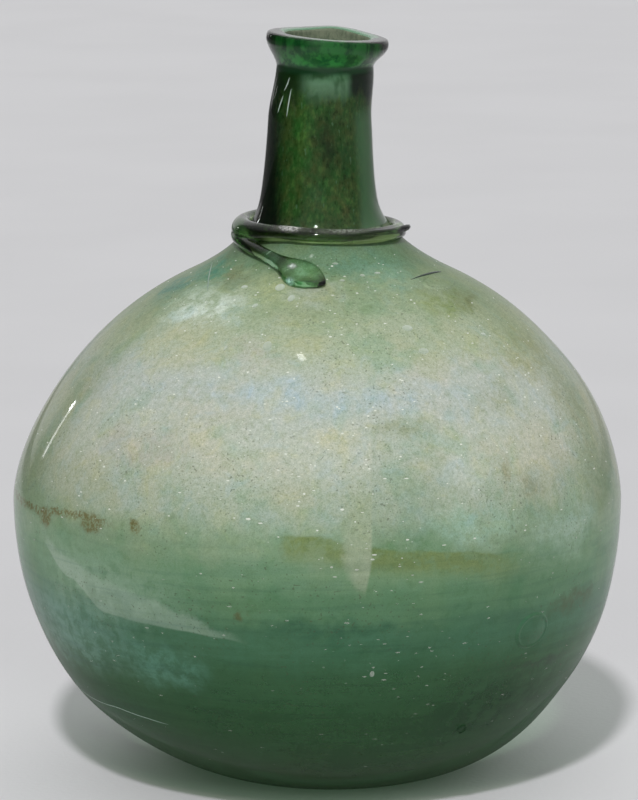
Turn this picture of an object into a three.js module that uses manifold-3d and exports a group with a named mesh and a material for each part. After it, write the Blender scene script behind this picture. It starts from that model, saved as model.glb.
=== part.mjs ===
// Free-blown globular flask of green glass, with a folded lip and a glass trail wound round its neck.
// Millimetres, +Z up. The origin is on the table, under the middle of the belly. The front is -Y.
import * as THREE from "three";
import { mergeVertices } from "three/addons/utils/BufferGeometryUtils.js";
import Module from "manifold-3d";

const wasm = await Module();
wasm.setup();
const { degToRad, lerp, smoothstep } = THREE.MathUtils;

// Outside of the blown form
const bodyRadius = 81.3; // belly, the widest ring
const bellyHeight = 73.8; // of the widest ring above the table
const crownRise = 68.5; // from the belly to where the upper curve would close over
const footRadius = 25; // outer edge of the flat ring that it stands on
const footWidth = 6; // of that ring
const kickDepth = 5; // hollow pushed up under the base
const neckRootRise = 11.7; // from the closed crown to where the neck stands free of the shoulder
const neckRootRadius = 15.6;
const neckLength = 35.2; // from the root up to the waist under the lip
const waistRadius = 12.8;
const lipHeight = 8.3; // from the waist to the top of the lip
const lipRadius = 16.1;
const lipNoseDrop = 2.1; // from the top of the lip down to its widest ring

// Glass thickness
const baseWall = 3.2;
const bodyWall = 1.8;
const neckWall = 2.3;
const foldWall = 3.1; // the lip is folded in, so the waist has two layers
const foldDrop = 3.2; // the folded edge ends this far below the waist
const foldEdgeRadius = 0.7;
const mouthFlare = 1.3; // the mouth is this much wider at its top than at the waist
const mouthEdgeRadius = 1.2;

// How far the blown form strays from a true turned shape
const footStray = 4; // these four are sideways, towards +X
const shoulderStray = 1.3;
const neckStray = 0.4;
const lipStray = 2.8;
const lipTilt = degToRad(4.4); // the lip is lower at +X
const lipBump = 0.9; // the back of the lip is raised
const lipBumpAzimuth = degToRad(80);
const lipBumpSpread = degToRad(28);

// Applied trail
const coilHalfWidth = 2.15; // along the glass, in the coil
const tailHalfWidth = 1.5; // the same in the tail that leads up to it
const trailHalfHeight = 1.65; // away from the glass
const coilSeatRadius = 20.3; // where the middle of the coil meets the glass, from the axis
const coilOverlap = 1.4; // the coil's end is pressed this far into its own start, below it
const padReach = 15.8; // from the coil out along the shoulder to where the trail starts
const padHalfWidth = 5;
const padHalfHeight = 2;
const padStart = degToRad(88.5); // the winding is measured clockwise from +X, seen from above
const padLengthAngle = degToRad(28);
const drawAngle = degToRad(28); // over this angle the tail closes most of its way to the coil
const climbStart = degToRad(330);
const coilEnd = degToRad(546);
const threadRadius = 0.85; // the snapped end of the trail, a thread lying along the coil
const threadStart = degToRad(364);
const threadEnd = degToRad(452);
const snappedEndReach = 1.5; // how far the snapped end stands off the coil

// Glass left by the rod that held the flask while its lip was finished
const scarRadius = 9;
const scarWidth = 4;
const scarThickness = 1.1;

// Deposits left by burial
const depositThickness = 0.4;
const neckDepositRise = 3.9; // the lining of the neck starts this far above the closed crown
const tideLineHeight = 75.8; // of the crust line on the inner wall, at its lower end
const tideLineRise = 4;
const tideLineWidth = 4;
const tideLineStart = degToRad(-164);
const tideLineEnd = degToRad(-121);

const seatGap = 0.3; // between the surfaces of separate pieces
const mergeShare = 0.001; // points closer than this share of that gap are one
const turns = 40; // facets round every turned piece

// Shares of the sizes above
const lowerRoundShares = { across: 1.72, up: 2.2 }; // exponents of the curve from foot to belly
const crownRoundShare = 1.7; // exponent of the curve from belly to shoulder
const shoulderShare = 0.88; // the neck's fillet starts at this share of the crown's rise
const rootFlareShare = 0.18; // change of radius for each step of height at the neck's root
const filletHandleShares = { shoulder: 0.58, neck: 0.42 }; // of the fillet's height
const neckHandleShares = { root: 0.24, waist: 0.37 }; // of the neck's length
const neckTaperShare = 0.37; // of the neck's taper is still to come at the waist's handle
const flareHandleShares = { waist: 0.2, nose: 0.52 }; // of the rise from waist to nose
const lipRoundShare = 0.6; // how full the lip's outer edge is
const lipFlatShare = 0.4; // how far out from the mouth the lip's top stays level
const strayHeightShares = { low: 0.35, crown: 0.55, neck: 0.6 }; // of the belly's height, crown and neck
const strayShares = { low: 0.18, neck: 0.12, waist: 0.7 }; // how much of the next stray is reached there
const padPeakShare = 0.42; // where the pad is widest, along its length
const padSpreadShare = 0.34;
const roundedEndShare = 0.25; // both ends of the trail close over this share of the pad's length
const tailShares = { even: 2.5, full: 6 }; // pad lengths along the trail, as the tail grows into the coil
const trailLiftShare = 0.7; // height of the trail's middle over the glass, in its half heights
const padSeatShare = 0.25; // the same for the pad, in pad half heights
const threadSeatShare = 0.8; // how far out on the coil the thread lies, in the coil's half heights
const threadShares = { free: 0.2, merging: 0.55, tip: 0.8 }; // along the thread, and the tip's thickness
const scarEdgeShare = 0.35; // thickness of the scar at its edges
const scarTearShare = 0.07; // how far its outline wavers
const crustShares = { narrow: 0.55, lobes: 0.3, crumbs: 0.15, face: 0.6 }; // of the crust line's half width
const crustWaves = { lobes: 17, crumbs: 41 };

const crownHeight = bellyHeight + crownRise;
const neckRootHeight = crownHeight + neckRootRise;
const waistHeight = neckRootHeight + neckLength;
const lipTopHeight = waistHeight + lipHeight;
const lipNoseHeight = lipTopHeight - lipNoseDrop;
const kickRadius = footRadius - footWidth;
const throatRadius = waistRadius - foldWall;
const mouthRadius = throatRadius + mouthFlare;
const foldBottomHeight = waistHeight - foldDrop;

const point = (radius, height) => new THREE.Vector2(radius, height);

// Samples a curve's formula at even steps, with its ends
function sampled(count, formula) {
  return Array.from({ length: count + 1 }, (_, i) => formula(i / count));
}

function bezier(count, ...controls) {
  return new THREE.CubicBezierCurve(...controls).getPoints(count);
}

const kickPoint = (t) => point(kickRadius * t, kickDepth * Math.cos((t * Math.PI) / 2) ** 2);

// From the foot's outer edge to the belly
function lowerPoint(t) {
  const drop = Math.cos((t * Math.PI) / 2);
  const reach = (1 - drop ** lowerRoundShares.up) ** (1 / lowerRoundShares.across);
  return point(lerp(footRadius, bodyRadius, reach), bellyHeight * (1 - drop));
}

// From the belly to where the neck's fillet starts
function crownPoint(t) {
  const rise = shoulderShare * Math.sin((t * Math.PI) / 2);
  return point(bodyRadius * Math.sqrt(1 - rise ** crownRoundShare), bellyHeight + crownRise * rise);
}

// A smooth change of direction from the shoulder's slope to the neck's
function filletPoints() {
  const start = crownPoint(1);
  const rise = shoulderShare ** crownRoundShare;
  const steepness = (2 * shoulderShare * Math.sqrt(1 - rise)) / (crownRoundShare * rise);
  const along = point(-bodyRadius, crownRise * steepness).normalize();
  const end = point(neckRootRadius, neckRootHeight);
  const height = end.y - start.y;
  const leave = start.clone().addScaledVector(along, height * filletHandleShares.shoulder);
  const handle = height * filletHandleShares.neck;
  const arrive = point(end.x + rootFlareShare * handle, end.y - handle);
  return bezier(6, start, leave, arrive, end);
}

function neckPoints() {
  const root = point(neckRootRadius, neckRootHeight);
  const waist = point(waistRadius, waistHeight);
  const handle = neckLength * neckHandleShares.root;
  const leave = point(root.x - rootFlareShare * handle, root.y + handle);
  const drop = neckLength * neckHandleShares.waist;
  const arrive = point(lerp(waist.x, root.x, neckTaperShare), waist.y - drop);
  return bezier(6, root, leave, arrive, waist);
}

// A quarter turn of an edge, from its level side to its upright side
function quarter(count, middle, across, up) {
  return sampled(count, (t) => {
    const angle = (t * Math.PI) / 2;
    return point(middle.x - across * Math.sin(angle), middle.y + up * Math.cos(angle));
  });
}

// The flare, the rounded nose, the mouth and the folded-in edge that ends inside the neck
function lipPoints() {
  const flareRise = lipNoseHeight - waistHeight;
  const waist = point(waistRadius, waistHeight);
  const nose = point(lipRadius, lipNoseHeight);
  const leave = point(waist.x, waist.y + flareRise * flareHandleShares.waist);
  const arrive = point(nose.x, nose.y - flareRise * flareHandleShares.nose);
  const level = point(lerp(mouthRadius + mouthEdgeRadius, lipRadius, lipFlatShare), lipTopHeight);
  const over = point(nose.x, nose.y + lipNoseDrop * lipRoundShare);
  const inward = point(lerp(level.x, nose.x, lipRoundShare), level.y);
  const mouthMiddle = point(mouthRadius + mouthEdgeRadius, lipTopHeight - mouthEdgeRadius);
  const foldMiddle = point(throatRadius + foldEdgeRadius, foldBottomHeight + foldEdgeRadius);
  return [
    ...bezier(4, waist, leave, arrive, nose).slice(1),
    ...bezier(3, nose, over, inward, level).slice(1),
    ...quarter(3, mouthMiddle, mouthEdgeRadius, mouthEdgeRadius),
    point(throatRadius, waistHeight),
    ...quarter(3, foldMiddle, foldEdgeRadius, -foldEdgeRadius).reverse(),
  ];
}

const bowl = [
  ...sampled(4, kickPoint),
  ...sampled(10, lowerPoint),
  ...sampled(9, crownPoint).slice(1),
  ...filletPoints().slice(1),
  ...neckPoints().slice(1),
];

// The glass is thickest in the base, thinnest round the belly and thicker again in the neck
function wallAt(height) {
  const lower = lerp(baseWall, bodyWall, smoothstep(height, 0, bellyHeight));
  return lerp(lower, neckWall, smoothstep(height, bellyHeight, neckRootHeight));
}

// Moves each point of a profile along its normal, into the glass when the distance is positive
function offset(profile, distanceAt) {
  return profile.map((p, i) => {
    const before = profile[Math.max(i - 1, 0)];
    const after = profile[Math.min(i + 1, profile.length - 1)];
    const along = after.clone().sub(before).normalize();
    const moved = p.clone().addScaledVector(point(-along.y, along.x), distanceAt(p.y));
    return p.x === 0 ? point(0, moved.y) : moved;
  });
}

const innerWall = offset(bowl, wallAt).filter((p) => p.y < foldBottomHeight - foldEdgeRadius);

// Turned solids: a profile about Z that starts and ends on the axis, or closes on itself
function turned(profile) {
  const lathe = new THREE.LatheGeometry(profile, turns).rotateX(Math.PI / 2);
  lathe.deleteAttribute("normal");
  lathe.deleteAttribute("uv");
  const merged = mergeVertices(lathe, seatGap * mergeShare);
  const index = merged.index.array;
  const kept = [];
  for (let i = 0; i < index.length; i += 3) {
    const [a, b, c] = index.slice(i, i + 3);
    if (a !== b && b !== c && c !== a) kept.push(a, b, c);
  }
  merged.setIndex(kept);
  return merged;
}

// Sideways stray of the axis at a height
function strayAt(height) {
  const leanBy = (share) => lerp(neckStray, lipStray, share);
  const stations = [
    [0, footStray],
    [bellyHeight * strayHeightShares.low, footStray * strayShares.low],
    [bellyHeight, 0],
    [bellyHeight + crownRise * strayHeightShares.crown, shoulderStray],
    [bellyHeight + crownRise * shoulderShare, shoulderStray],
    [neckRootHeight, neckStray],
    [neckRootHeight + neckLength * strayHeightShares.neck, leanBy(strayShares.neck)],
    [waistHeight, leanBy(strayShares.waist)],
    [lipTopHeight, lipStray],
  ];
  const next = stations.findIndex((station) => station[0] > height);
  if (next === 0) return stations[0][1];
  if (next < 0) return stations[stations.length - 1][1];
  const [from, to] = [stations[next - 1], stations[next]];
  return lerp(from[1], to[1], smoothstep(height, from[0], to[0]));
}

// Bends a true turned shape into the hand-made one. Every piece goes through it, so seats still match.
function settle(geometry) {
  const places = geometry.getAttribute("position");
  for (let i = 0; i < places.count; i++) {
    const [x, y, z] = [places.getX(i), places.getY(i), places.getZ(i)];
    const inLip = smoothstep(z, waistHeight - lipNoseDrop, lipNoseHeight);
    const turn = Math.atan2(y, x) - lipBumpAzimuth;
    const fromBump = Math.atan2(Math.sin(turn), Math.cos(turn)) / lipBumpSpread;
    const raised = lipBump * Math.exp(-fromBump * fromBump) - x * Math.tan(lipTilt);
    places.setXYZ(i, x + strayAt(z), y, z + inLip * raised);
  }
  return geometry;
}

function toManifold(geometry) {
  return new wasm.Manifold(
    new wasm.Mesh({
      numProp: 3,
      vertProperties: new Float32Array(geometry.getAttribute("position").array),
      triVerts: new Uint32Array(geometry.index.array),
    }),
  );
}

function toGeometry(solid) {
  const mesh = solid.getMesh();
  const geometry = new THREE.BufferGeometry();
  geometry.setAttribute("position", new THREE.BufferAttribute(mesh.vertProperties, 3));
  geometry.setIndex(new THREE.BufferAttribute(mesh.triVerts, 1));
  return geometry;
}

// Joins rings of equal count into one closed skin, with a point at each end
function lofted(rings, firstEnd, lastEnd) {
  const sides = rings[0].length;
  const places = [firstEnd, ...rings.flat(), lastEnd];
  const faces = [];
  for (let s = 0; s < sides; s++) {
    const next = (s + 1) % sides;
    faces.push(0, 1 + next, 1 + s);
    for (let r = 0; r + 1 < rings.length; r++) {
      const [a, b] = [1 + r * sides, 1 + (r + 1) * sides];
      faces.push(a + s, a + next, b + s, a + next, b + next, b + s);
    }
    const last = 1 + (rings.length - 1) * sides;
    faces.push(last + s, last + next, places.length - 1);
  }
  const geometry = new THREE.BufferGeometry();
  const coordinates = places.flatMap((p) => p.toArray());
  geometry.setAttribute("position", new THREE.Float32BufferAttribute(coordinates, 3));
  geometry.setIndex(faces);
  return geometry;
}

// The outer glass above the belly, as points with their distance along it
const upTheGlass = bowl.filter((p) => p.y >= bellyHeight).map((p) => ({ p, distance: 0 }));
for (let i = 1; i < upTheGlass.length; i++) {
  const [below, here] = [upTheGlass[i - 1], upTheGlass[i]];
  here.distance = below.distance + here.p.distanceTo(below.p);
}

function glassAt(distance) {
  const after = upTheGlass.findIndex((place) => place.distance > distance);
  const [below, above] = [upTheGlass[after - 1], upTheGlass[after]];
  const t = (distance - below.distance) / (above.distance - below.distance);
  return below.p.clone().lerp(above.p, t);
}

function distanceWhere(radius) {
  const after = upTheGlass.findIndex((place) => place.p.x < radius);
  const [below, above] = [upTheGlass[after - 1], upTheGlass[after]];
  return lerp(below.distance, above.distance, (below.p.x - radius) / (below.p.x - above.p.x));
}

const coilDistance = distanceWhere(coilSeatRadius);
const coilClimb = 2 * coilHalfWidth - coilOverlap;

// How far up the glass the middle of the winding trail lies
function trailSeat(winding) {
  const drawnIn = Math.exp(-(winding - padStart) / drawAngle);
  const climb = smoothstep(winding, climbStart, coilEnd);
  return coilDistance - padReach * drawnIn + coilClimb * climb;
}

// Middle of the trail and the glass's own normal there
function trailStation(winding, lift) {
  const seat = trailSeat(winding);
  const chord = glassAt(seat + tailHalfWidth).sub(glassAt(seat - tailHalfWidth)).normalize();
  const out = new THREE.Vector3(Math.cos(winding), -Math.sin(winding), 0);
  const away = out.clone().multiplyScalar(chord.y).setZ(-chord.x);
  const place = glassAt(seat);
  const middle = out.multiplyScalar(place.x).setZ(place.y).addScaledVector(away, lift);
  return { middle, away };
}

const coilLift = trailHalfHeight * trailLiftShare;

// Half sizes of the trail: a rounded pad, drawn out into a thin tail that fills out into the coil
function trailSection(winding) {
  const fromPad = (winding - padStart) / padLengthAngle;
  const swell = Math.exp(-(((fromPad - padPeakShare) / padSpreadShare) ** 2));
  const closing = Math.min(fromPad, (coilEnd - winding) / padLengthAngle);
  const rounded = Math.sqrt(1 - Math.max(1 - closing / roundedEndShare, 0) ** 2);
  const filled = smoothstep(fromPad, tailShares.even, tailShares.full);
  const strandHalfWidth = lerp(tailHalfWidth, coilHalfWidth, filled);
  return {
    across: rounded * lerp(strandHalfWidth, padHalfWidth, swell),
    away: rounded * lerp(trailHalfHeight, padHalfHeight, swell),
    lift: lerp(coilLift, padHalfHeight * padSeatShare, swell),
  };
}

// Points round the trail's section, square to its path
function ringAt(winding, sides, stationOf, section) {
  const { middle, away } = stationOf(winding);
  const step = degToRad(1);
  const travel = stationOf(winding + step).middle.sub(stationOf(winding - step).middle).normalize();
  const across = new THREE.Vector3().crossVectors(travel, away).normalize();
  const squareAway = new THREE.Vector3().crossVectors(across, travel);
  return Array.from({ length: sides }, (_, i) => {
    const angle = (2 * Math.PI * i) / sides;
    return middle
      .clone()
      .addScaledVector(across, section.across * Math.sin(angle))
      .addScaledVector(squareAway, section.away * Math.cos(angle));
  });
}

// One strand of the trail, between two of its evenly spaced stations
function strand(windings, first, last) {
  const station = (winding) => trailStation(winding, trailSection(winding).lift);
  const middles = windings.slice(first, last + 1);
  const closesStart = first === 0;
  const closesEnd = last === windings.length - 1;
  const inner = middles.slice(closesStart ? 1 : 0, closesEnd ? -1 : undefined);
  const rings = inner.map((winding) => ringAt(winding, 10, station, trailSection(winding)));
  const [from, to] = [station(middles[0]), station(middles[middles.length - 1])];
  return toManifold(lofted(rings, from.middle, to.middle));
}

// The snapped end of the trail: its tip stands off the coil, and its other end sinks into the coil
function thread() {
  const stationOf = (winding) => {
    const { middle, away } = trailStation(winding, coilLift);
    const merged = smoothstep(winding, lerp(threadStart, threadEnd, threadShares.merging), threadEnd);
    const free = 1 - smoothstep(winding, threadStart, lerp(threadStart, threadEnd, threadShares.free));
    const out = away.clone().setZ(0).normalize();
    const reach = trailHalfHeight * threadSeatShare * (1 - merged);
    middle.addScaledVector(away, reach).addScaledVector(out, free * snappedEndReach);
    return { middle, away };
  };
  const windings = sampled(18, (t) => lerp(threadStart, threadEnd, t));
  const rings = windings.slice(1, -1).map((winding, i) => {
    const size = threadRadius * (i === 0 ? threadShares.tip : 1);
    return ringAt(winding, 8, stationOf, { across: size, away: size });
  });
  return toManifold(lofted(rings, stationOf(threadStart).middle, stationOf(threadEnd).middle));
}

function trailSolid() {
  const windings = sampled(74, (t) => lerp(padStart, coilEnd, t));
  const half = Math.round(windings.length / 2);
  const lower = strand(windings, 0, half + 1);
  const upper = strand(windings, half, windings.length - 1);
  // the skin of the shoulder, a gap outside the glass, cuts the face that the trail sits on
  const shell = offset(bowl, () => -seatGap).filter((p) => p.y > bellyHeight);
  const cutter = toManifold(turned([point(0, shell[0].y), ...shell, point(0, shell[shell.length - 1].y)]));
  return toGeometry(lower.add(upper).add(thread()).subtract(cutter));
}

// A torn ring of glass in the kick, lying against its dome
function scarSolid() {
  const dome = (radius) => kickPoint(radius / kickRadius).y - seatGap;
  const radii = sampled(5, (t) => lerp(scarRadius - scarWidth, scarRadius, t));
  const seat = radii.map((radius) => point(radius, dome(radius)));
  const torn = radii.map((radius, i) => {
    const bulge = Math.sin((Math.PI * i) / (radii.length - 1));
    return point(radius, dome(radius) - scarThickness * lerp(scarEdgeShare, 1, bulge));
  });
  const ring = turned([...torn, ...seat.reverse(), torn[0]]);
  const places = ring.getAttribute("position");
  for (let i = 0; i < places.count; i++) {
    const [x, y, z] = [places.getX(i), places.getY(i), places.getZ(i)];
    const azimuth = Math.atan2(y, x);
    const inward = 1 - scarTearShare * (1 + Math.sin(3 * azimuth) * Math.cos(azimuth + 1));
    const lift = dome(Math.hypot(x, y) * inward) - dome(Math.hypot(x, y));
    places.setXYZ(i, x * inward, y * inward, z + lift);
  }
  return ring;
}

// A thin skin on the inner wall, between two heights, as a closed ring
function neckDepositSolid() {
  const lining = innerWall.filter((p) => p.y > crownHeight + neckDepositRise);
  const seat = offset(lining, () => seatGap);
  const face = offset(lining, () => seatGap + depositThickness);
  return turned([...seat, ...face.reverse(), seat[0]]);
}

// A ragged strip of crust along the inner wall
function tideLineSolid() {
  const wallPoint = (height, depth) => {
    const skin = offset(innerWall, () => depth);
    const after = skin.findIndex((p) => p.y > height);
    const [below, above] = [skin[after - 1], skin[after]];
    return lerp(below.x, above.x, (height - below.y) / (above.y - below.y));
  };
  const facet = (2 * Math.PI) / turns;
  const flatTo = (azimuth) => {
    const fromMiddle = azimuth - facet * (Math.floor(azimuth / facet) + 0.5);
    return Math.cos(facet / 2) / Math.cos(fromMiddle);
  };
  const rings = sampled(14, (t) => {
    const azimuth = lerp(tideLineStart, tideLineEnd, t);
    const lobes = crustShares.lobes * Math.sin(t * crustWaves.lobes);
    const crumbs = crustShares.crumbs * Math.sin(t * crustWaves.crumbs);
    const half = (tideLineWidth / 2) * (crustShares.narrow + lobes + crumbs);
    const corners = [
      [half, seatGap],
      [-half, seatGap],
      [-half * crustShares.face, seatGap + depositThickness],
      [half * crustShares.face, seatGap + depositThickness],
    ];
    return corners.map(([up, depth]) => {
      const height = tideLineHeight + tideLineRise * Math.sin((t * Math.PI) / 2) + up;
      const radius = wallPoint(height, depth) * flatTo(azimuth);
      return new THREE.Vector3(radius * Math.cos(azimuth), radius * Math.sin(azimuth), height);
    });
  });
  const sumOf = (ring) => ring.reduce((sum, p) => sum.add(p), new THREE.Vector3());
  const middleOf = (ring) => sumOf(ring).divideScalar(ring.length);
  return lofted(rings, middleOf(rings[0]), middleOf(rings[rings.length - 1]));
}

const glass = new THREE.MeshStandardMaterial({ color: 0x86a78f, roughness: 0.12, metalness: 0 });
const trailGlass = new THREE.MeshStandardMaterial({ color: 0x2f6b45, roughness: 0.08, metalness: 0 });
const scarGlass = new THREE.MeshStandardMaterial({ color: 0x6f9a80, roughness: 0.35, metalness: 0 });
const neckCrust = new THREE.MeshStandardMaterial({ color: 0x4a4a2c, roughness: 0.9, metalness: 0 });
const brownCrust = new THREE.MeshStandardMaterial({ color: 0x7d6a43, roughness: 0.95, metalness: 0 });

const flask = new THREE.Group();

function place(name, geometry, material) {
  const mesh = new THREE.Mesh(settle(geometry), material);
  mesh.name = name;
  flask.add(mesh);
}

place("vessel", turned([...bowl, ...lipPoints(), ...[...innerWall].reverse()]), glass);
place("neck_trail", trailSolid(), trailGlass);
place("pontil_scar", scarSolid(), scarGlass);
place("neck_deposit", neckDepositSolid(), neckCrust);
place("tide_line_deposit", tideLineSolid(), brownCrust);

export default flask;
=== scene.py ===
import math
from functools import reduce
from types import SimpleNamespace

import bpy
import numpy as np
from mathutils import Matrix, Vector
from mathutils.bvhtree import BVHTree


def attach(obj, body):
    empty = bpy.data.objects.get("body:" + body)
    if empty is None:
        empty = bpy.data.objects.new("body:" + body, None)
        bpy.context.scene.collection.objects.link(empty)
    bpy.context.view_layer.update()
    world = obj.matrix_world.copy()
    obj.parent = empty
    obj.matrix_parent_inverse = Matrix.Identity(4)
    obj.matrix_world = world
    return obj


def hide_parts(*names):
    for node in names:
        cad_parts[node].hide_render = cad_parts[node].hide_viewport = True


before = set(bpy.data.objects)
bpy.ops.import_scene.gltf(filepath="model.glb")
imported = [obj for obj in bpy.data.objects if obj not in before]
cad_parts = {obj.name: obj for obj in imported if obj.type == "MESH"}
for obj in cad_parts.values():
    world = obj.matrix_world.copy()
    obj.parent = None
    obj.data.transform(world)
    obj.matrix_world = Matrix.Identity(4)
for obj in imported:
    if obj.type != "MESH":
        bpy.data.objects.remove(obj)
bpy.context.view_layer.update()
mm = 0.001  # the tables below are in millimetres, as in the part's source
scene = bpy.context.scene


# Small helpers for building node trees

def addNode(tree, kind, inputs=None, **settings):
    made = tree.nodes.new(kind)
    for name, value in settings.items():
        setattr(made, name, value)
    for key, value in (inputs or {}).items():
        if isinstance(value, bpy.types.NodeSocket):
            tree.links.new(value, made.inputs[key])
        elif isinstance(value, bpy.types.Node):
            tree.links.new(value.outputs[0], made.inputs[key])
        elif value is not None:
            made.inputs[key].default_value = value
    return made


def calc(tree, operation, *values):
    return addNode(tree, "ShaderNodeMath", dict(enumerate(values)), operation=operation).outputs[0]


def times(tree, *values):
    return reduce(lambda first, second: calc(tree, "MULTIPLY", first, second), values)


def plus(tree, *values):
    return reduce(lambda first, second: calc(tree, "ADD", first, second), values)


def minus(tree, first, second):
    return calc(tree, "SUBTRACT", first, second)


def parts(tree, vector):
    return addNode(tree, "ShaderNodeSeparateXYZ", {0: vector}).outputs


def vectorCalc(tree, operation, *values):
    keys = [0, "Scale"] if operation == "SCALE" else range(3)
    made = addNode(tree, "ShaderNodeVectorMath", dict(zip(keys, values)), operation=operation)
    return made.outputs["Value" if operation in ("DOT_PRODUCT", "LENGTH") else "Vector"]


def ranged(tree, value, fromLow, fromHigh, toLow=0.0, toHigh=1.0, soft=True):
    sockets = {"Value": value, "From Min": fromLow, "From Max": fromHigh, "To Min": toLow, "To Max": toHigh}
    return addNode(tree, "ShaderNodeMapRange", sockets, interpolation_type="SMOOTHSTEP" if soft else "LINEAR").outputs[0]


def within(tree, value, rise, fall):  # 1 between two soft edges
    return times(tree, ranged(tree, value, *rise), ranged(tree, value, *fall))


def ramp(tree, value, *stops):
    made = addNode(tree, "ShaderNodeValToRGB", {0: value})
    band = made.color_ramp
    band.interpolation = "EASE"
    while len(band.elements) < len(stops):
        band.elements.new(0.5)
    for element, (place, colour) in zip(band.elements, stops):
        element.position = place
        element.color = (*colour, 1)
    return made.outputs[0]


def mixColour(tree, share, first, second, blend="MIX"):
    made = addNode(tree, "ShaderNodeMix", data_type="RGBA", blend_type=blend)
    for key, value in ((0, share), (6, first), (7, second)):
        if isinstance(value, bpy.types.NodeSocket):
            tree.links.new(value, made.inputs[key])
        else:
            made.inputs[key].default_value = value if key == 0 else (*value, 1)
    return made.outputs[2]


def noiseOf(tree, place, scale, detail=3.0, roughness=0.5, stretch=(1, 1, 1), shift=(0, 0, 0), warp=0.0):
    moved = addNode(tree, "ShaderNodeMapping", {"Vector": place, "Scale": stretch, "Location": shift})
    sockets = {"Vector": moved, "Scale": scale, "Detail": detail, "Roughness": roughness, "Distortion": warp}
    return addNode(tree, "ShaderNodeTexNoise", sockets).outputs[0]


def newMaterial(name):
    material = bpy.data.materials.new(name)
    material.use_nodes = True
    material.node_tree.nodes.clear()
    return material, material.node_tree


def finished(material, surface, volume=None):
    addNode(material.node_tree, "ShaderNodeOutputMaterial", {"Surface": surface, "Volume": volume})
    return material


def principled(tree, colour, roughness, more=None):
    colour = colour if isinstance(colour, bpy.types.NodeSocket) else (*colour, 1)
    return addNode(tree, "ShaderNodeBsdfPrincipled", {"Base Color": colour, "Roughness": roughness, **(more or {})})


def bumped(tree, height, strength, depth):  # depth in mm
    return {"Normal": addNode(tree, "ShaderNodeBump", {"Strength": strength, "Distance": depth * mm, "Height": height})}


def seeThrough(tree, tint):
    return addNode(tree, "ShaderNodeBsdfTransparent", {"Color": tint}).outputs[0]


def thickGlass(tree, finish):  # what a thickness of glass lets through
    return addNode(tree, "ShaderNodeVolumeAbsorption", {"Color": (*finish["depthColour"], 1), "Density": finish["density"]})


def millimetrePlace(tree):
    coordinates = addNode(tree, "ShaderNodeTexCoord")
    return vectorCalc(tree, "SCALE", coordinates.outputs["Object"], 1 / mm)


def spotOn(tree, place, middlePoint, size, soft=0.6):  # 1 inside an ellipsoid about a spot of the surface, fading to 0 at its edge
    away = vectorCalc(tree, "DIVIDE", vectorCalc(tree, "SUBTRACT", place, middlePoint), size)
    return ranged(tree, vectorCalc(tree, "LENGTH", away), 1.0, 1.0 - soft)


def raggedPlace(tree, place, scale, amount):  # the place, shifted to and fro, so that what is drawn with it gets a natural edge
    moved = addNode(tree, "ShaderNodeTexNoise", {"Vector": place, "Scale": scale, "Detail": 3.0, "Roughness": 0.6})
    shift = vectorCalc(tree, "SUBTRACT", moved.outputs[1], (0.5, 0.5, 0.5))
    return vectorCalc(tree, "ADD", place, vectorCalc(tree, "SCALE", shift, amount))


def heightColour(tree, height, stops):
    return ramp(tree, ranged(tree, height, 0, 200, soft=False), *[(level / 200, colour) for level, colour in stops])


def heightShare(tree, height, stops):
    return heightColour(tree, height, [(level, (share,) * 3) for level, share in stops])


def lineAlong(tree, across, low, high, *heights):  # a height in mm that follows given values, evenly spread from low to high
    stops = [(k / (len(heights) - 1), (value / 100,) * 3) for k, value in enumerate(heights)]
    drawn = ramp(tree, ranged(tree, across, low, high, soft=False), *stops)
    return times(tree, drawn, 100.0)


def mixShader(tree, share, first, second):
    return addNode(tree, "ShaderNodeMixShader", {0: share, 1: first, 2: second}).outputs[0]


def wireMesh(name, points, edges, attributes):
    mesh = bpy.data.meshes.new(name)
    mesh.from_pydata([tuple(p) for p in points], edges, [])
    for key, values in attributes.items():
        values = np.asarray(values, float)
        vector = values.ndim == 2
        layer = mesh.attributes.new(key, "FLOAT_VECTOR" if vector else "FLOAT", "POINT")
        layer.data.foreach_set("vector" if vector else "value", values.ravel())
    made = bpy.data.objects.new(name, mesh)
    scene.collection.objects.link(made)
    return made


def dropEmptySlots(mesh):  # the nodes leave an empty slot before the materials that they set
    used = np.empty(len(mesh.polygons), np.int32)
    mesh.polygons.foreach_get("material_index", used)
    for index in range(len(mesh.materials) - 1, -1, -1):
        if mesh.materials[index] is None:
            mesh.materials.pop(index=index)
            used[used > index] -= 1
    mesh.polygons.foreach_set("material_index", used)


def meshFromNodes(name, source, tree, values):
    modifier = source.modifiers.new("shape", "NODES")
    modifier.node_group = tree
    for item in tree.interface.items_tree:
        if item.item_type == "SOCKET" and item.in_out == "INPUT" and item.name in values:
            modifier[item.identifier] = values[item.name]
    ready = bpy.context.evaluated_depsgraph_get()
    shaped = source.evaluated_get(ready)
    mesh = bpy.data.meshes.new_from_object(shaped, preserve_all_data_layers=True, depsgraph=ready)
    source.modifiers.remove(modifier)
    bpy.data.objects.remove(source)
    dropEmptySlots(mesh)
    mesh.name = name
    piece = bpy.data.objects.new(name, mesh)
    scene.collection.objects.link(piece)
    return piece


def startTree(name, **sockets):
    tree = bpy.data.node_groups.new(name, "GeometryNodeTree")
    tree.interface.new_socket("Geometry", in_out="INPUT", socket_type="NodeSocketGeometry")
    for key, (kind, value) in sockets.items():
        made = tree.interface.new_socket(key, in_out="INPUT", socket_type="NodeSocket" + kind)
        if value is not None:
            made.default_value = value
    tree.interface.new_socket("Geometry", in_out="OUTPUT", socket_type="NodeSocketGeometry")
    return tree, tree.nodes.new("NodeGroupInput")


def endTree(tree, geometry, material):
    real = addNode(tree, "GeometryNodeRealizeInstances", {"Geometry": geometry})
    dressed = addNode(tree, "GeometryNodeSetMaterial", {"Geometry": real, "Material": material})
    addNode(tree, "NodeGroupOutput", {0: dressed})
    return tree


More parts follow.
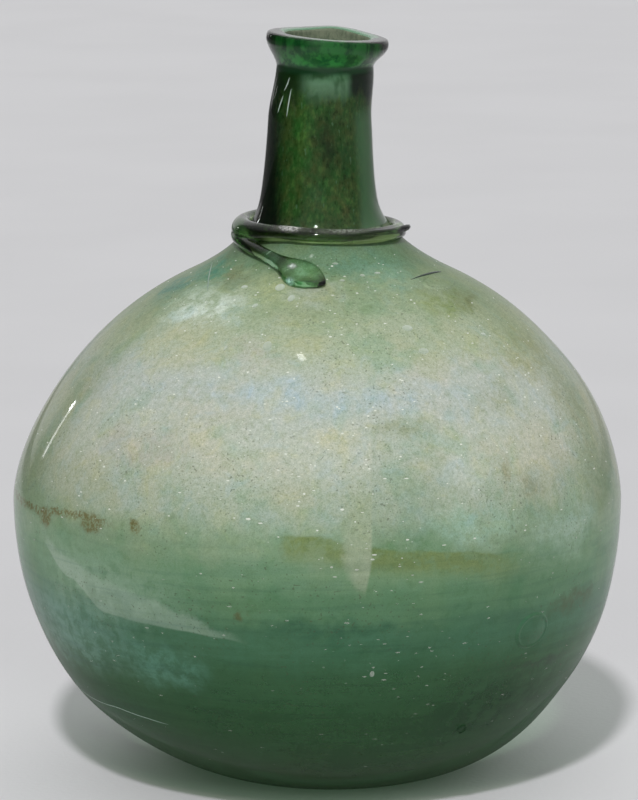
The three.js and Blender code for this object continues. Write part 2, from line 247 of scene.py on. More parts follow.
def stored(tree, key, kind="FLOAT"):
    return addNode(tree, "GeometryNodeInputNamedAttribute", {"Name": key}, data_type=kind).outputs[0]


def keep(tree, geometry, key, value):
    sockets = {"Geometry": geometry, "Name": key, "Value": value}
    return addNode(tree, "GeometryNodeStoreNamedAttribute", sockets, data_type="FLOAT", domain="POINT").outputs[0]


def placeOf(tree):
    return addNode(tree, "GeometryNodeInputPosition").outputs[0]


def moveTo(tree, geometry, place):
    return addNode(tree, "GeometryNodeSetPosition", {"Geometry": geometry, "Position": place})


def hump(tree, value, middle, width):  # 1 at the middle, falling off to both sides
    away = calc(tree, "ABSOLUTE", calc(tree, "DIVIDE", minus(tree, value, middle), width))
    return calc(tree, "EXPONENT", times(tree, calc(tree, "POWER", away, 2.0), -1.0))


def rolledGrid(tree, across, around):  # a grid to be bent round: its two places, the first from 0 to 1, the second an angle
    grid = addNode(tree, "GeometryNodeMeshGrid", {"Size X": 1.0, "Size Y": 1.0, "Vertices X": across, "Vertices Y": around})
    x, y, _ = parts(tree, placeOf(tree))
    return grid.outputs["Mesh"], plus(tree, x, 0.5), times(tree, plus(tree, y, 0.5), 2 * math.pi)


def mergedSmooth(tree, geometry):
    closed = addNode(tree, "GeometryNodeMergeByDistance", {"Geometry": geometry, "Distance": 1e-6})
    return addNode(tree, "GeometryNodeSetShadeSmooth", {"Geometry": closed})


def ridesRoot(piece, slot, *nodes):
    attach(piece, "root")
    if nodes:
        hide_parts(*nodes)
    return piece


# Camera at the photograph's place, and a plain studio

studio = {
    "cameraPlace": (0.0005, -1.160, 0.322),
    "cameraTarget": (0.0005, 0.0, 0.0996),
    "lens": 198.9,
    "sensor": 36.0,  # along the photograph's long side
    "floorRadius": 5.0,
    "floorColour": (0.625, 0.625, 0.635),
    "paintedLightFront": (140, 10),  # painted light: toward the camera the floor's colour is made paler, from one depth in mm to the other
    "paintedLightShade": (1.17, 1.17, 1.17),
    "darkLeft": (-330, -560, 0.0, 0.85),  # painted reflection: in the glass's mirror the floor is drawn dark toward its sides: from, to and how much
    "darkRight": (300, 560, 0.0, 0.5),
    "paintedReflectionShade": (0.03, 0.03, 0.03),
    "worldColour": (1.0, 1.0, 1.01, 1),
    "skySides": 0.26,  # brightness of the room at its sides, what the zenith adds to it, and what the pale wall behind adds
    "skyTop": 0.36,
    "skyBack": 0.35,
    "darkCorner": 0.9,  # how much darker the room is at the left
    "keyStrength": 1.9,
    "keySpread": 4.0,  # degrees across
    "keyDirection": (-0.081, -0.662, 0.745),
    "glints": {  # lamps that show only as a reflection in the glass: place, power, width and height
        "ceiling lamp": ((-0.16, -0.055, 1.65), 0.30, 0.10, 0.05),
        "side strip": ((-1.10, 1.10, 0.36), 0.13, 0.035, 0.28),
        "side strip top": ((-1.067, 1.099, 0.473), 0.16, 0.035, 0.05),
    },
    "glintTarget": (0, 0, 0.1),
}


def aim(thing, place, target):
    thing.location = place
    thing.rotation_euler = (Vector(target) - Vector(place)).to_track_quat("-Z", "Y").to_euler()


lens = bpy.data.cameras.new("camera")
lens.lens = studio["lens"]
lens.sensor_width = studio["sensor"]
camera = bpy.data.objects.new("camera", lens)
scene.collection.objects.link(camera)
aim(camera, studio["cameraPlace"], studio["cameraTarget"])
scene.camera = camera
scene.view_settings.view_transform = "Standard"

world = bpy.data.worlds.new("pale room")
scene.world = world
world.use_nodes = True
world.node_tree.nodes.clear()


def makeSky(tree):
    direction = addNode(tree, "ShaderNodeTexCoord").outputs["Generated"]
    across, back, up = parts(tree, direction)
    wall = times(tree, ranged(tree, back, 0.2, 0.9), studio["skyBack"])
    ceiling = times(tree, calc(tree, "MAXIMUM", up, 0.0), studio["skyTop"])
    corner = times(tree, ranged(tree, across, -0.48, -0.64), ranged(tree, up, 0.75, 0.4))
    lit = minus(tree, 1.0, times(tree, corner, studio["darkCorner"]))
    strength = times(tree, plus(tree, wall, ceiling, studio["skySides"]), lit)
    glow = addNode(tree, "ShaderNodeBackground", {"Color": studio["worldColour"], "Strength": strength})
    addNode(tree, "ShaderNodeOutputWorld", {"Surface": glow})


makeSky(world.node_tree)


def sunLight(name, direction, strength, angle):
    light = bpy.data.lights.new(name, "SUN")
    light.energy = strength
    light.angle = math.radians(angle)
    made = bpy.data.objects.new(name, light)
    scene.collection.objects.link(made)
    aim(made, direction, (0, 0, 0))
    return made


def glintLight(name, place, power, wide, tall):
    light = bpy.data.lights.new(name, "AREA")
    light.shape = "RECTANGLE"
    light.size, light.size_y = wide, tall
    light.energy = power
    made = bpy.data.objects.new(name, light)
    scene.collection.objects.link(made)
    aim(made, place, studio["glintTarget"])
    made.visible_diffuse = False
    made.visible_transmission = False
    made.visible_volume_scatter = False


key = sunLight("key", studio["keyDirection"], studio["keyStrength"], studio["keySpread"])
key.visible_glossy = False
for name, glint in studio["glints"].items():
    glintLight(name, *glint)


def floorMaterial():
    material, tree = newMaterial("pale cloth floor")
    place = millimetrePlace(tree)
    x, y, _ = parts(tree, place)
    cloudy = noiseOf(tree, place, 0.008, 2)
    darkSides = calc(tree, "MAXIMUM", ranged(tree, x, *studio["darkLeft"]), ranged(tree, x, *studio["darkRight"]))
    # painted reflection: rays mirrored by the glass see the floor's sides drawn dark
    mirrored = times(tree, addNode(tree, "ShaderNodeLightPath").outputs["Is Glossy Ray"], darkSides)
    shades = [[c * (1 + change) for c in studio["floorColour"]] for change in (-0.015, 0.015)]
    shade = mixColour(tree, ranged(tree, cloudy, 0.3, 0.7), *shades)
    # painted light: the floor's colour is made paler toward the camera
    shade = mixColour(tree, ranged(tree, y, *studio["paintedLightFront"]), shade, studio["paintedLightShade"], "MULTIPLY")
    shade = mixColour(tree, mirrored, shade, studio["paintedReflectionShade"])
    return finished(material, principled(tree, shade, 0.9, bumped(tree, noiseOf(tree, place, 0.6, 2), 0.25, 0.4)))


def makeFloor():
    count, radius = 96, studio["floorRadius"]
    ring = [(radius * math.cos(2 * math.pi * i / count), radius * math.sin(2 * math.pi * i / count), 0) for i in range(count)]
    mesh = bpy.data.meshes.new("floor")
    mesh.from_pydata(ring, [], [list(range(count))])
    floor = bpy.data.objects.new("floor", mesh)
    scene.collection.objects.link(floor)
    floor.data.materials.append(floorMaterial())


makeFloor()
print("studio ready")

# The blown form, repeated from the part's source

blownForm = {
    "bodyRadius": 81.3, "bellyHeight": 73.8, "crownRise": 68.5, "footRadius": 25.0, "footWidth": 6.0,
    "kickDepth": 5.0, "neckRootRise": 11.7, "neckRootRadius": 15.6, "neckLength": 35.2, "waistRadius": 12.8,
    "lipHeight": 8.3, "lipRadius": 16.1, "lipNoseDrop": 2.1,
    "baseWall": 3.2, "bodyWall": 1.8, "neckWall": 2.3, "foldWall": 3.1, "foldDrop": 3.2, "foldEdgeRadius": 0.7,
    "mouthFlare": 1.3, "mouthEdgeRadius": 1.2,
    "footStray": 4.0, "shoulderStray": 1.3, "neckStray": 0.4, "lipStray": 2.8,
    "lipTilt": 4.4, "lipBump": 0.9, "lipBumpAzimuth": 80.0, "lipBumpSpread": 28.0,  # degrees, but for the bump's height
}
form = SimpleNamespace(**blownForm)
crownHeight = form.bellyHeight + form.crownRise
neckRootHeight = crownHeight + form.neckRootRise
waistHeight = neckRootHeight + form.neckLength
lipTopHeight = waistHeight + form.lipHeight
lipNoseHeight = lipTopHeight - form.lipNoseDrop
throatRadius = form.waistRadius - form.foldWall
mouthRadius = throatRadius + form.mouthFlare
foldBottomHeight = waistHeight - form.foldDrop
formShares = {
    "lowerAcross": 1.72, "lowerUp": 2.2, "crownRound": 1.7,  # exponents of the curves from foot to belly and on to the shoulder
    "shoulder": 0.88,  # the fillet to the neck starts at this share of the crown's rise
    "rootFlare": 0.18,  # change of radius for each step of height at the neck's root
    "filletShoulder": 0.58, "filletNeck": 0.42,  # handles of the fillet, of its height
    "neckRoot": 0.24, "neckWaist": 0.37,  # handles of the neck, of its length
    "neckTaper": 0.37,  # of the taper is still to come at the waist's handle
    "lipLevel": 0.55, "lipRise": 0.3, "lipFall": 0.36, "lipFlare": 0.35, "noseRise": 0.85, "noseLevel": 0.95,
    "foldHandle": 0.7,
    "lowHeight": 0.35, "crownHeight": 0.55, "neckHeight": 0.6,  # where the form strays from its axis, and how far
    "lowStray": 0.18, "neckStray": 0.12, "waistStray": 0.7,
}
shares = SimpleNamespace(**formShares)


def lerp(first, second, share):
    return first + (second - first) * share


def smooth(value, low, high):
    t = np.clip((value - low) / (high - low), 0, 1)
    return t * t * (3 - 2 * t)


def bezier(count, *controls):
    t = np.linspace(0, 1, count + 1)[:, None]
    a, b, c, d = [np.array(p, float) for p in controls]
    return a * (1 - t) ** 3 + 3 * b * t * (1 - t) ** 2 + 3 * c * t * t * (1 - t) + d * t ** 3


def quarter(count, middlePoint, across, up):
    t = np.linspace(0, math.pi / 2, count + 1)
    return np.stack([middlePoint[0] - across * np.sin(t), middlePoint[1] + up * np.cos(t)], 1)


def bowlProfile():
    t = np.linspace(0, 1, 15)
    kick = np.stack([(form.footRadius - form.footWidth) * t, form.kickDepth * np.cos(t * math.pi / 2) ** 2], 1)
    t = np.linspace(0, 1, 61)
    drop = np.cos(t * math.pi / 2)
    reach = (1 - drop ** shares.lowerUp) ** (1 / shares.lowerAcross)
    lower = np.stack([lerp(form.footRadius, form.bodyRadius, reach), form.bellyHeight * (1 - drop)], 1)
    t = np.linspace(0, 1, 53)[1:]
    rise = shares.shoulder * np.sin(t * math.pi / 2)
    crown = np.stack([form.bodyRadius * np.sqrt(1 - rise ** shares.crownRound), form.bellyHeight + form.crownRise * rise], 1)
    top = shares.shoulder ** shares.crownRound
    steep = 2 * shares.shoulder * math.sqrt(1 - top) / (shares.crownRound * top)
    along = np.array([-form.bodyRadius, form.crownRise * steep])
    along /= np.linalg.norm(along)
    height = neckRootHeight - crown[-1][1]
    root = (form.neckRootRadius, neckRootHeight)
    handle = height * shares.filletNeck
    fillet = bezier(20, crown[-1], crown[-1] + along * height * shares.filletShoulder,
                    (form.neckRootRadius + shares.rootFlare * handle, neckRootHeight - handle), root)
    handle = form.neckLength * shares.neckRoot
    towardWaist = (lerp(form.waistRadius, form.neckRootRadius, shares.neckTaper), waistHeight - form.neckLength * shares.neckWaist)
    neck = bezier(30, root, (form.neckRootRadius - shares.rootFlare * handle, neckRootHeight + handle),
                  towardWaist, (form.waistRadius, waistHeight))
    return np.concatenate([kick, lower, crown, fillet[1:], neck[1:]])


def lipProfile():
    rise = lipNoseHeight - waistHeight
    levelRadius = lerp(mouthRadius + form.mouthEdgeRadius, form.lipRadius, shares.lipLevel)
    flare = bezier(14, (form.waistRadius, waistHeight), (form.waistRadius, waistHeight + rise * shares.lipRise),
                   (form.lipRadius - shares.lipFlare, lipNoseHeight - rise * shares.lipFall), (form.lipRadius, lipNoseHeight))
    nose = bezier(14, (form.lipRadius, lipNoseHeight), (form.lipRadius, lipNoseHeight + form.lipNoseDrop * shares.noseRise),
                  (lerp(levelRadius, form.lipRadius, shares.noseLevel), lipTopHeight), (levelRadius, lipTopHeight))
    edgeMiddle = (mouthRadius + form.mouthEdgeRadius, lipTopHeight - form.mouthEdgeRadius)
    mouth = quarter(8, edgeMiddle, form.mouthEdgeRadius, form.mouthEdgeRadius)
    throat = np.stack([np.linspace(mouth[-1][0], throatRadius, 6)[1:], np.linspace(mouth[-1][1], waistHeight, 6)[1:]], 1)
    end = innerWall[-1]
    fold = bezier(12, (throatRadius, waistHeight), (throatRadius, waistHeight - form.foldDrop * shares.foldHandle),
                  (end[0], foldBottomHeight + form.foldEdgeRadius), (end[0] - 0.02, end[1] + 0.2))[1:]
    return np.concatenate([flare[1:], nose[1:], mouth, throat, fold])


def wallAt(height):
    lowerWall = lerp(form.baseWall, form.bodyWall, smooth(height, 0, form.bellyHeight))
    return lerp(lowerWall, form.neckWall, smooth(height, form.bellyHeight, neckRootHeight))


def offsetProfile(profile, distance):
    before = profile[np.maximum(np.arange(len(profile)) - 1, 0)]
    after = profile[np.minimum(np.arange(len(profile)) + 1, len(profile) - 1)]
    along = after - before
    along /= np.linalg.norm(along, axis=1)[:, None]
    moved = profile + np.stack([-along[:, 1], along[:, 0]], 1) * np.asarray(distance).reshape(-1, 1)
    moved[:, 0] = np.where(profile[:, 0] < 1e-9, 0, moved[:, 0])
    return moved


def strayAt(height):
    leanBy = lambda share: lerp(form.neckStray, form.lipStray, share)
    stations = [(0, form.footStray), (form.bellyHeight * shares.lowHeight, form.footStray * shares.lowStray), (form.bellyHeight, 0),
                (form.bellyHeight + form.crownRise * shares.crownHeight, form.shoulderStray),
                (form.bellyHeight + form.crownRise * shares.shoulder, form.shoulderStray), (neckRootHeight, form.neckStray),
                (neckRootHeight + form.neckLength * shares.neckHeight, leanBy(shares.neckStray)),
                (waistHeight, leanBy(shares.waistStray)), (lipTopHeight, form.lipStray)]
    height = np.asarray(height, float)
    stray = np.full(height.shape, float(form.footStray))
    for (low, fromStray), (high, toStray) in zip(stations, stations[1:]):
        stray = np.where(height > low, lerp(fromStray, toStray, smooth(height, low, high)), stray)
    return stray


bowl = bowlProfile()
innerWall = offsetProfile(bowl, wallAt(bowl[:, 1]))
innerWall = innerWall[innerWall[:, 1] < foldBottomHeight - form.foldEdgeRadius]

# Turns a profile about Z and bends it into the hand-made form


def turnTree():
    tree, given = startTree("turned glass", Turns=("Int", 96), Tilt=("Float", 0.0), Bump=("Float", 0.0),
                            BumpAzimuth=("Float", 0.0), BumpSpread=("Float", 1.0), Wobble=("Float", 0.0),
                            WobbleSize=("Float", 0.03), WobbleHeight=("Float", 0.07), Seed=("Float", 1.0),
                            Outer=("Material", None), Inner=("Material", None), Neck=("Material", None), Lining=("Material", None))
    turn = given.outputs
    count = addNode(tree, "GeometryNodeAttributeDomainSize", {0: turn["Geometry"]}, component="MESH").outputs["Point Count"]
    kept, outward, azimuth = rolledGrid(tree, count, plus(tree, turn["Turns"], 1))
    index = calc(tree, "ROUND", times(tree, outward, minus(tree, count, 1)))
    for key in ("stray", "lipShare", "wobbleShare", "skin", "radius", "height"):
        sockets = {0: turn["Geometry"], 1: stored(tree, key), 2: index}
        kept = keep(tree, kept, key, addNode(tree, "GeometryNodeSampleIndex", sockets, data_type="FLOAT", domain="POINT"))
    kept = keep(tree, kept, "azimuth", azimuth)

    radius, azimuth = stored(tree, "radius"), stored(tree, "azimuth")
    across, deep = (times(tree, radius, calc(tree, way, azimuth)) for way in ("COSINE", "SINE"))
    fromBump = calc(tree, "WRAP", minus(tree, azimuth, turn["BumpAzimuth"]), math.pi, -math.pi)
    bumpRise = times(tree, hump(tree, fromBump, 0.0, turn["BumpSpread"]), turn["Bump"])
    raised = minus(tree, bumpRise, times(tree, across, calc(tree, "TANGENT", turn["Tilt"])))
    up = plus(tree, stored(tree, "height"), times(tree, raised, stored(tree, "lipShare")))
    turned = addNode(tree, "ShaderNodeCombineXYZ", {0: plus(tree, across, stored(tree, "stray")), 1: deep, 2: up})
    shaped = moveTo(tree, kept, turned)

    now = placeOf(tree)
    centre = addNode(tree, "ShaderNodeCombineXYZ", {2: turn["WobbleHeight"]}).outputs[0]
    away = vectorCalc(tree, "NORMALIZE", vectorCalc(tree, "SUBTRACT", now, centre))
    spread = vectorCalc(tree, "SCALE", now, calc(tree, "DIVIDE", 1, turn["WobbleSize"]))
    cells = addNode(tree, "ShaderNodeTexNoise", {"Vector": spread, "W": turn["Seed"], "Scale": 1.0, "Detail": 1.5}, noise_dimensions="4D")
    reach = times(tree, turn["Wobble"], stored(tree, "wobbleShare"))
    swell = times(tree, minus(tree, cells.outputs[0], 0.5), reach)
    wavy = addNode(tree, "GeometryNodeSetPosition", {"Geometry": shaped, "Offset": vectorCalc(tree, "SCALE", away, swell)})

    dressed = addNode(tree, "GeometryNodeRealizeInstances", {"Geometry": mergedSmooth(tree, wavy)})
    for level, skin in enumerate(("Outer", "Inner", "Neck", "Lining")):
        chosen = calc(tree, "GREATER_THAN", stored(tree, "skin"), level - 0.5)
        dressed = addNode(tree, "GeometryNodeSetMaterial", {"Geometry": dressed, "Selection": chosen, "Material": turn[skin]})
    addNode(tree, "NodeGroupOutput", {0: dressed})
    return tree


turnedGlass = turnTree()


def turnedPiece(name, profile, skin, values, wobbleShare=None):
    height = profile[:, 1]
    attributes = {
        "radius": profile[:, 0] * mm, "height": height * mm, "stray": strayAt(height) * mm, "skin": skin,
        "lipShare": smooth(height, waistHeight - form.lipNoseDrop, lipNoseHeight),
        "wobbleShare": np.zeros(len(profile)) if wobbleShare is None else wobbleShare,
    }
    points, edges = [(r * mm, 0, z * mm) for r, z in profile], [(i, i + 1) for i in range(len(profile) - 1)]
    source = wireMesh(name + "Profile", points, edges, attributes)
    lip = {"Tilt": math.radians(form.lipTilt), "Bump": form.lipBump * mm,
           "BumpAzimuth": math.radians(form.lipBumpAzimuth), "BumpSpread": math.radians(form.lipBumpSpread)}
    return meshFromNodes(name, source, turnedGlass, {**lip, **values})


def signedVolume(mesh):
    mesh.calc_loop_triangles()
    corners = np.empty(len(mesh.vertices) * 3)
    mesh.vertices.foreach_get("co", corners)
    corners = corners.reshape(-1, 3)
    faces = np.empty(len(mesh.loop_triangles) * 3, int)
    mesh.loop_triangles.foreach_get("vertices", faces)
    a, b, c = (corners[faces.reshape(-1, 3)[:, k]] for k in range(3))
    return float((a * np.cross(b, c)).sum() / 6)


def facesOutward(piece):
    if signedVolume(piece.data) < 0:
        piece.data.flip_normals()
    return piece


# The vessel's glass: green, glossy, and hazed by weathering on its upper half

bodyFinish = {
    "turns": 208,
    "wobble": 0.9,  # how far the blown wall wavers, and over what distance
    "wobbleSize": 34.0,
    "wobbleSeed": 3.0,
    "wobbleRise": (8, 30),  # the wall wavers between these heights, and a little at the root of the neck
    "wobbleFall": (118, 132),
    "rootWobble": 0.12,
    "rootRise": (132, 140),
    "neckFrom": 147.0,
    "liningFrom": 146.2,
    "gloss": 0.05,
    "mirrorIor": 1.38,
    "mirror": ((0, 0.22), (30, 0.22), (42, 0.42), (60, 0.65), (85, 0.70), (118, 0.62), (130, 0.42), (142, 0.36)),
    # darker toward the bottom: partly the clear lower glass's own deep green, partly painted shade for the shaded floor
    # and inside seen through it
    "colours": ((4, (0.026, 0.068, 0.020)), (26, (0.030, 0.101, 0.034)), (40, (0.036, 0.118, 0.045)), (52, (0.056, 0.168, 0.088)),
                (63, (0.108, 0.238, 0.119)), (70, (0.175, 0.315, 0.175)), (78, (0.270, 0.380, 0.240)), (86, (0.410, 0.480, 0.365)),
                (98, (0.520, 0.565, 0.465)), (113, (0.500, 0.550, 0.490)), (124, (0.430, 0.500, 0.350)), (133, (0.350, 0.440, 0.270)),
                (141, (0.200, 0.310, 0.170))),
    "colourWander": 0.75,  # how much of the loose waver the bands of colour take
    "looseWaver": (0.09, 13.0),  # wavering edges: how fine, and how far in mm
    "roughWaver": (0.6, 2.6),
    "cover": ((0, 0.62), (40, 0.70), (64, 0.80), (84, 0.88), (115, 0.90), (135, 0.80), (145, 0.70)),
    "hazeFrom": (62, 90),  # the heights where the haze sets in
    "front": (0, -20),
    "worn": {"noise": (0.24, 4, 0.65), "shift": (9, 9, 9), "warp": 0.3},  # stains are worn to about a third in places
    "wornLevels": (0.36, 0.60, 0.35, 1.0),
    "stainSoftness": 0.8,
    "hazeRoughness": 0.6,
    "hazeIor": 1.3,
    "tintFront": (0.45, 0.74, 0.58),
    "tintEdge": (0.16, 0.32, 0.22),
    "tintLight": (0.66, 0.76, 0.64),
    "lightThrough": 0.88,
    "rim": ((0.46, 0.68), 0.9, (0.64, 0.70, 0.54)),  # hazy glass seen on edge: how much on edge, share and tone
    "paintedEdgeReflection": ((0.25, 0.7), (26, 44), (1.5, 1.40, 1.45)),  # painted reflection: clear glass seen on edge is drawn lighter, above the base
    "innerCover": ((0, 0.5), (60, 0.45), (90, 0.5), (140, 0.6)),
    "innerTint": (0.80, 0.92, 0.84, 1),
    "innerHaze": ((0.10, 0.17, 0.09), (0.26, 0.31, 0.20)),
    "innerNoise": {"noise": (0.12, 4, 0.6)},
    "innerLevels": (0.35, 0.65),
    "innerRoughness": 0.7,
}

# Fine patterns of the haze: where they show, how strongly, and the levels of the pattern that bring each tone

hazePatterns = {
    "blotches": {"noise": (0.055, 3, 0.55), "shift": (11, 3, 7), "warp": 0.4, "share": 0.35, "tones": ((0.48, 0.66, (1.12, 0.98, 0.86)),)},
    "greens": {"noise": (0.075, 3, 0.55), "shift": (2, 17, 29), "warp": 0.4, "share": 0.8, "tones": ((0.5, 0.68, (0.78, 0.90, 0.84)),)},
    "striae": {"where": "clear", "noise": (0.5, 4, 0.55), "stretch": (0.06, 0.06, 1.0), "warp": 0.3, "share": 0.45,
               "tones": ((0.50, 0.66, (0.68, 0.76, 0.80)), (0.46, 0.34, (1.18, 1.14, 1.22)))},
    "grain": {"where": "hazy", "noise": (2.7, 2, 0.7), "share": 0.45, "elsewhere": 0.35,
              "tones": ((0.50, 0.68, (0.72, 0.76, 0.72)), (0.48, 0.32, (1.22, 1.18, 1.18)))},
    "mottle": {"where": "hazy", "noise": (0.95, 3, 0.65), "shift": (6, 1, 8), "share": 0.6,
               "tones": ((0.50, 0.66, (0.80, 0.82, 0.74)), (0.48, 0.34, (1.16, 1.15, 1.20)))},
    "patches": {"noise": (0.33, 4, 0.65), "warp": 0.5, "share": 0.7,
                "tones": ((0.5, 0.68, (0.84, 0.88, 0.80)), (0.46, 0.30, (1.10, 1.06, 1.10)))},
    "sheen": {"where": "hazy", "noise": (0.15, 3, 0.6), "shift": (1, 8, 3), "warp": 0.6, "share": 0.6,
              "tones": ((0.52, 0.68, (0.92, 1.0, 1.14)), (0.46, 0.32, (1.06, 1.02, 0.87)))},
}

# Areas of the haze with drawn edges, in mm: each pair is where the area sets in, or where it ends

hazeAreas = {
    "oliveBand": {"top": (-12, 60, 80.6, 80.2, 77.2, 75.8, 74.6, 72.6, 70.5), "waver": 0.3, "below": ((-0.5, 0.5), (8.5, 3.0)),
                  "across": ((-11, -6), (60, 38)), "wornShare": (0.5, 0.85), "colour": (0.185, 0.250, 0.080)},
    # painted reflections, not haze: the dimmer patch and the pale upright strip at its left
    "darkReflectionPatch": {"left": (13.2, 14.2), "right": (34, 28), "up": ((72, 80), (108, 98)), "share": 0.7, "tone": (0.80, 0.86, 0.84)},
    "strip": {"left": (5.0, 8.5), "right": (14.1, 13.3), "bottom": (63, 70), "top": (98, 84), "taper": (75, 63, 0.0, 4.0),
              "rightTaper": 0.4, "share": 0.85, "colour": (0.36, 0.43, 0.29)},
    # a paler patch low on the left front, with a sharp lower edge
    "palePatch": {"low": (-74, -14, 72, 62.6, 55.3, 54.4, 53.8, 52.8, 50.9), "high": (-74, -14, 74, 67.6, 64.0, 61.5, 58.5, 54.4, 51.3),
             "lowEdge": (-0.35, 0.35), "highEdge": (1.2, -1.2), "across": ((-72.5, -68), (-15, -30)), "share": 0.55,
             "colour": (0.36, 0.48, 0.37)},
    "pits": {"noise": (1.5, 0, 0.4), "levels": (0.73, 0.77), "crowd": (0.05, 2), "crowdShift": (5, 5, 5), "crowdLevels": (0.42, 0.6),
             "share": 0.5, "colour": (0.07, 0.08, 0.04)},
    "tide": {"line": (-80, -40, 77.6, 77.9, 79.4, 80.3, 79.6, 79.8, 80.2), "below": ((-0.8, 0.0), (2.0, 0.8)), "right": (-50, -57),
             "crumbs": (1.0, 4, 0.7), "crumbShift": (3, 1, 4), "crumbLevels": (0.40, 0.58), "leastCrumbs": 0.35,
             "clumps": (((-70.4, -40, 76.4), (2.8, 5, 3.4)), ((-57.4, -56.5, 78.4), (5.4, 6, 3.2)), ((-46.3, -66, 79.6), (2.0, 4, 2.4))),
             "share": 0.80, "colour": (0.155, 0.122, 0.032)},
}

# Stains and clear patches of the haze: middle point and reach in mm, colour, strength

bodyStains = {
    "clear left shoulder": ((-35, -12, 133), (20, 20, 8), (0.15, 0.36, 0.28), 0.8),
    "teal left shoulder": ((-27, -13, 136.5), (7, 12, 5.5), (0.07, 0.32, 0.22), 1.0),
    "teal upper left": ((-39, -11, 132), (12, 14, 3.4), (0.12, 0.32, 0.26), 0.85),
    "white by the trail": ((-31, -31, 130.5), (20, 19, 7.5), (0.76, 0.86, 0.76), 0.85),
    # painted light: the glass under the pad is made paler where the pad shades it
    "mint painted light under the pad": ((-3, -28, 138), (6, 7, 4), (0.62, 0.80, 0.62), 0.9),
    "brown left of the tail": ((-20.5, -21, 137.5), (4.5, 9, 6), (0.20, 0.22, 0.09), 0.85),
    "olive under the tail": ((-13, -31, 134.5), (12, 10, 5), (0.44, 0.50, 0.25), 0.7),
    "clear right of the coil": ((12, -24, 141), (24, 15, 6), (0.16, 0.31, 0.20), 0.85),
    "teal right of the coil": ((19, -25, 136.5), (15, 15, 6.0), (0.20, 0.38, 0.27), 0.7),
    "grey shoulder lens": ((33, -17, 134.5), (11, 11, 4.2), (0.36, 0.44, 0.29), 0.8),
    "olive under the lens": ((33, -25, 130.6), (19, 16, 3.8), (0.26, 0.34, 0.12), 0.9),
    "brown under the lens": ((38, -21, 129.6), (8, 12, 2.8), (0.20, 0.22, 0.07), 0.7),
    "brown under the pad": ((-3, -40, 131.5), (10, 8, 4.0), (0.32, 0.36, 0.20), 0.25),
    "cream left": ((-36, -40, 122), (24, 26, 8), (0.53, 0.55, 0.37), 0.6),
    "pink middle": ((-16, -52, 121), (14, 16, 6), (0.56, 0.53, 0.48), 0.5),
    "blue band": ((2, -60, 112.3), (52, 40, 5.0), (0.42, 0.54, 0.56), 0.55),
    "pale under the pad": ((0, -34, 133), (14, 10, 4), (0.50, 0.56, 0.45), 0.7),
    "blue white right": ((55, -40, 108), (8, 12, 4.5), (0.43, 0.55, 0.52), 0.2),
    "olive right shoulder": ((53, -27, 117), (18, 28, 12), (0.36, 0.37, 0.16), 0.6),
    "olive right upper edge": ((65, -27, 104), (9, 18, 11), (0.33, 0.34, 0.17), 0.5),
    "white right middle": ((38, -66, 92), (9, 10, 8), (0.58, 0.64, 0.57), 0.65),
    "yellow middle": ((4.5, -70, 103.5), (10, 9, 4), (0.60, 0.58, 0.34), 0.6),
    "pink left": ((-46, -60, 98), (22, 22, 9), (0.46, 0.44, 0.37), 0.6),
    "brown top of the thin patch": ((23, -65, 105.5), (13, 12, 3.5), (0.32, 0.35, 0.20), 0.6),
    "brown run": ((48, -60, 92), (3.0, 6, 8), (0.30, 0.29, 0.14), 0.7),
    "brown run right": ((55, -57, 87), (6, 7, 5), (0.30, 0.31, 0.18), 0.6),
    "olive right edge": ((70, -31, 94), (8, 18, 12), (0.41, 0.43, 0.27), 0.45),
    "clear middle right": ((40, -70, 80.5), (22, 16, 8), (0.36, 0.54, 0.42), 0.7),
    "clear right": ((64, -48, 76), (18, 26, 10), (0.40, 0.55, 0.44), 0.65),
    "hazy left": ((-52, -56, 63), (36, 36, 14), (0.27, 0.42, 0.28), 0.85),
    "brown mottle": ((66, -44, 55), (12, 20, 5), (0.065, 0.085, 0.030), 0.7),
    "dark streak right": ((57, -48, 39.5), (20, 22, 2.2), (0.035, 0.075, 0.040), 0.8),
    "dark clear low": ((6, -78, 56.0), (34, 14, 4.2), (0.030, 0.120, 0.060), 0.75),
    "grey left low": ((-60, -38, 48), (30, 52, 15), (0.15, 0.31, 0.23), 0.85),
    # painted reflection: a darker patch right of the pale strip, for a dark thing mirrored in the glass
    "painted dark reflection right of the strip": ((22, -76, 75.5), (15, 9, 5), (0.13, 0.26, 0.12), 0.8),
    "green left low": ((-50, -45, 27), (14, 22, 7), (0.035, 0.125, 0.055), 0.5),
    "brown drop": ((-18.4, -78.4, 60.3), (1.9, 3, 1.9), (0.10, 0.10, 0.03), 0.8),
    # near-black in the hollow by the tail, under the coil
    "dark pocket by the tail": ((-16.5, -13, 144.4), (8, 11, 3.8), (0.030, 0.034, 0.014), 1.0),
    "olive right haze": ((46.5, -51, 110.5), (11, 12, 6), (0.35, 0.39, 0.26), 0.65),
    # partly the clear glass's own deep green, partly painted shade: the shaded floor seen through and mirrored low on
    # the right
    "dark right low": ((44, -50, 30), (34, 42, 16), (0.012, 0.052, 0.016), 0.85),
    "teal left low": ((-39, -64, 43), (17, 21, 9), (0.115, 0.29, 0.20), 0.9),
}


def coverLetsLight(tree, cover):  # the haze stops only a share of the light that passes the glass on its way to the floor
    lightThrough = addNode(tree, "ShaderNodeLightPath").outputs["Is Shadow Ray"]
    stopped = minus(tree, 1.0, times(tree, lightThrough, bodyFinish["lightThrough"]))
    return times(tree, cover, stopped), lightThrough


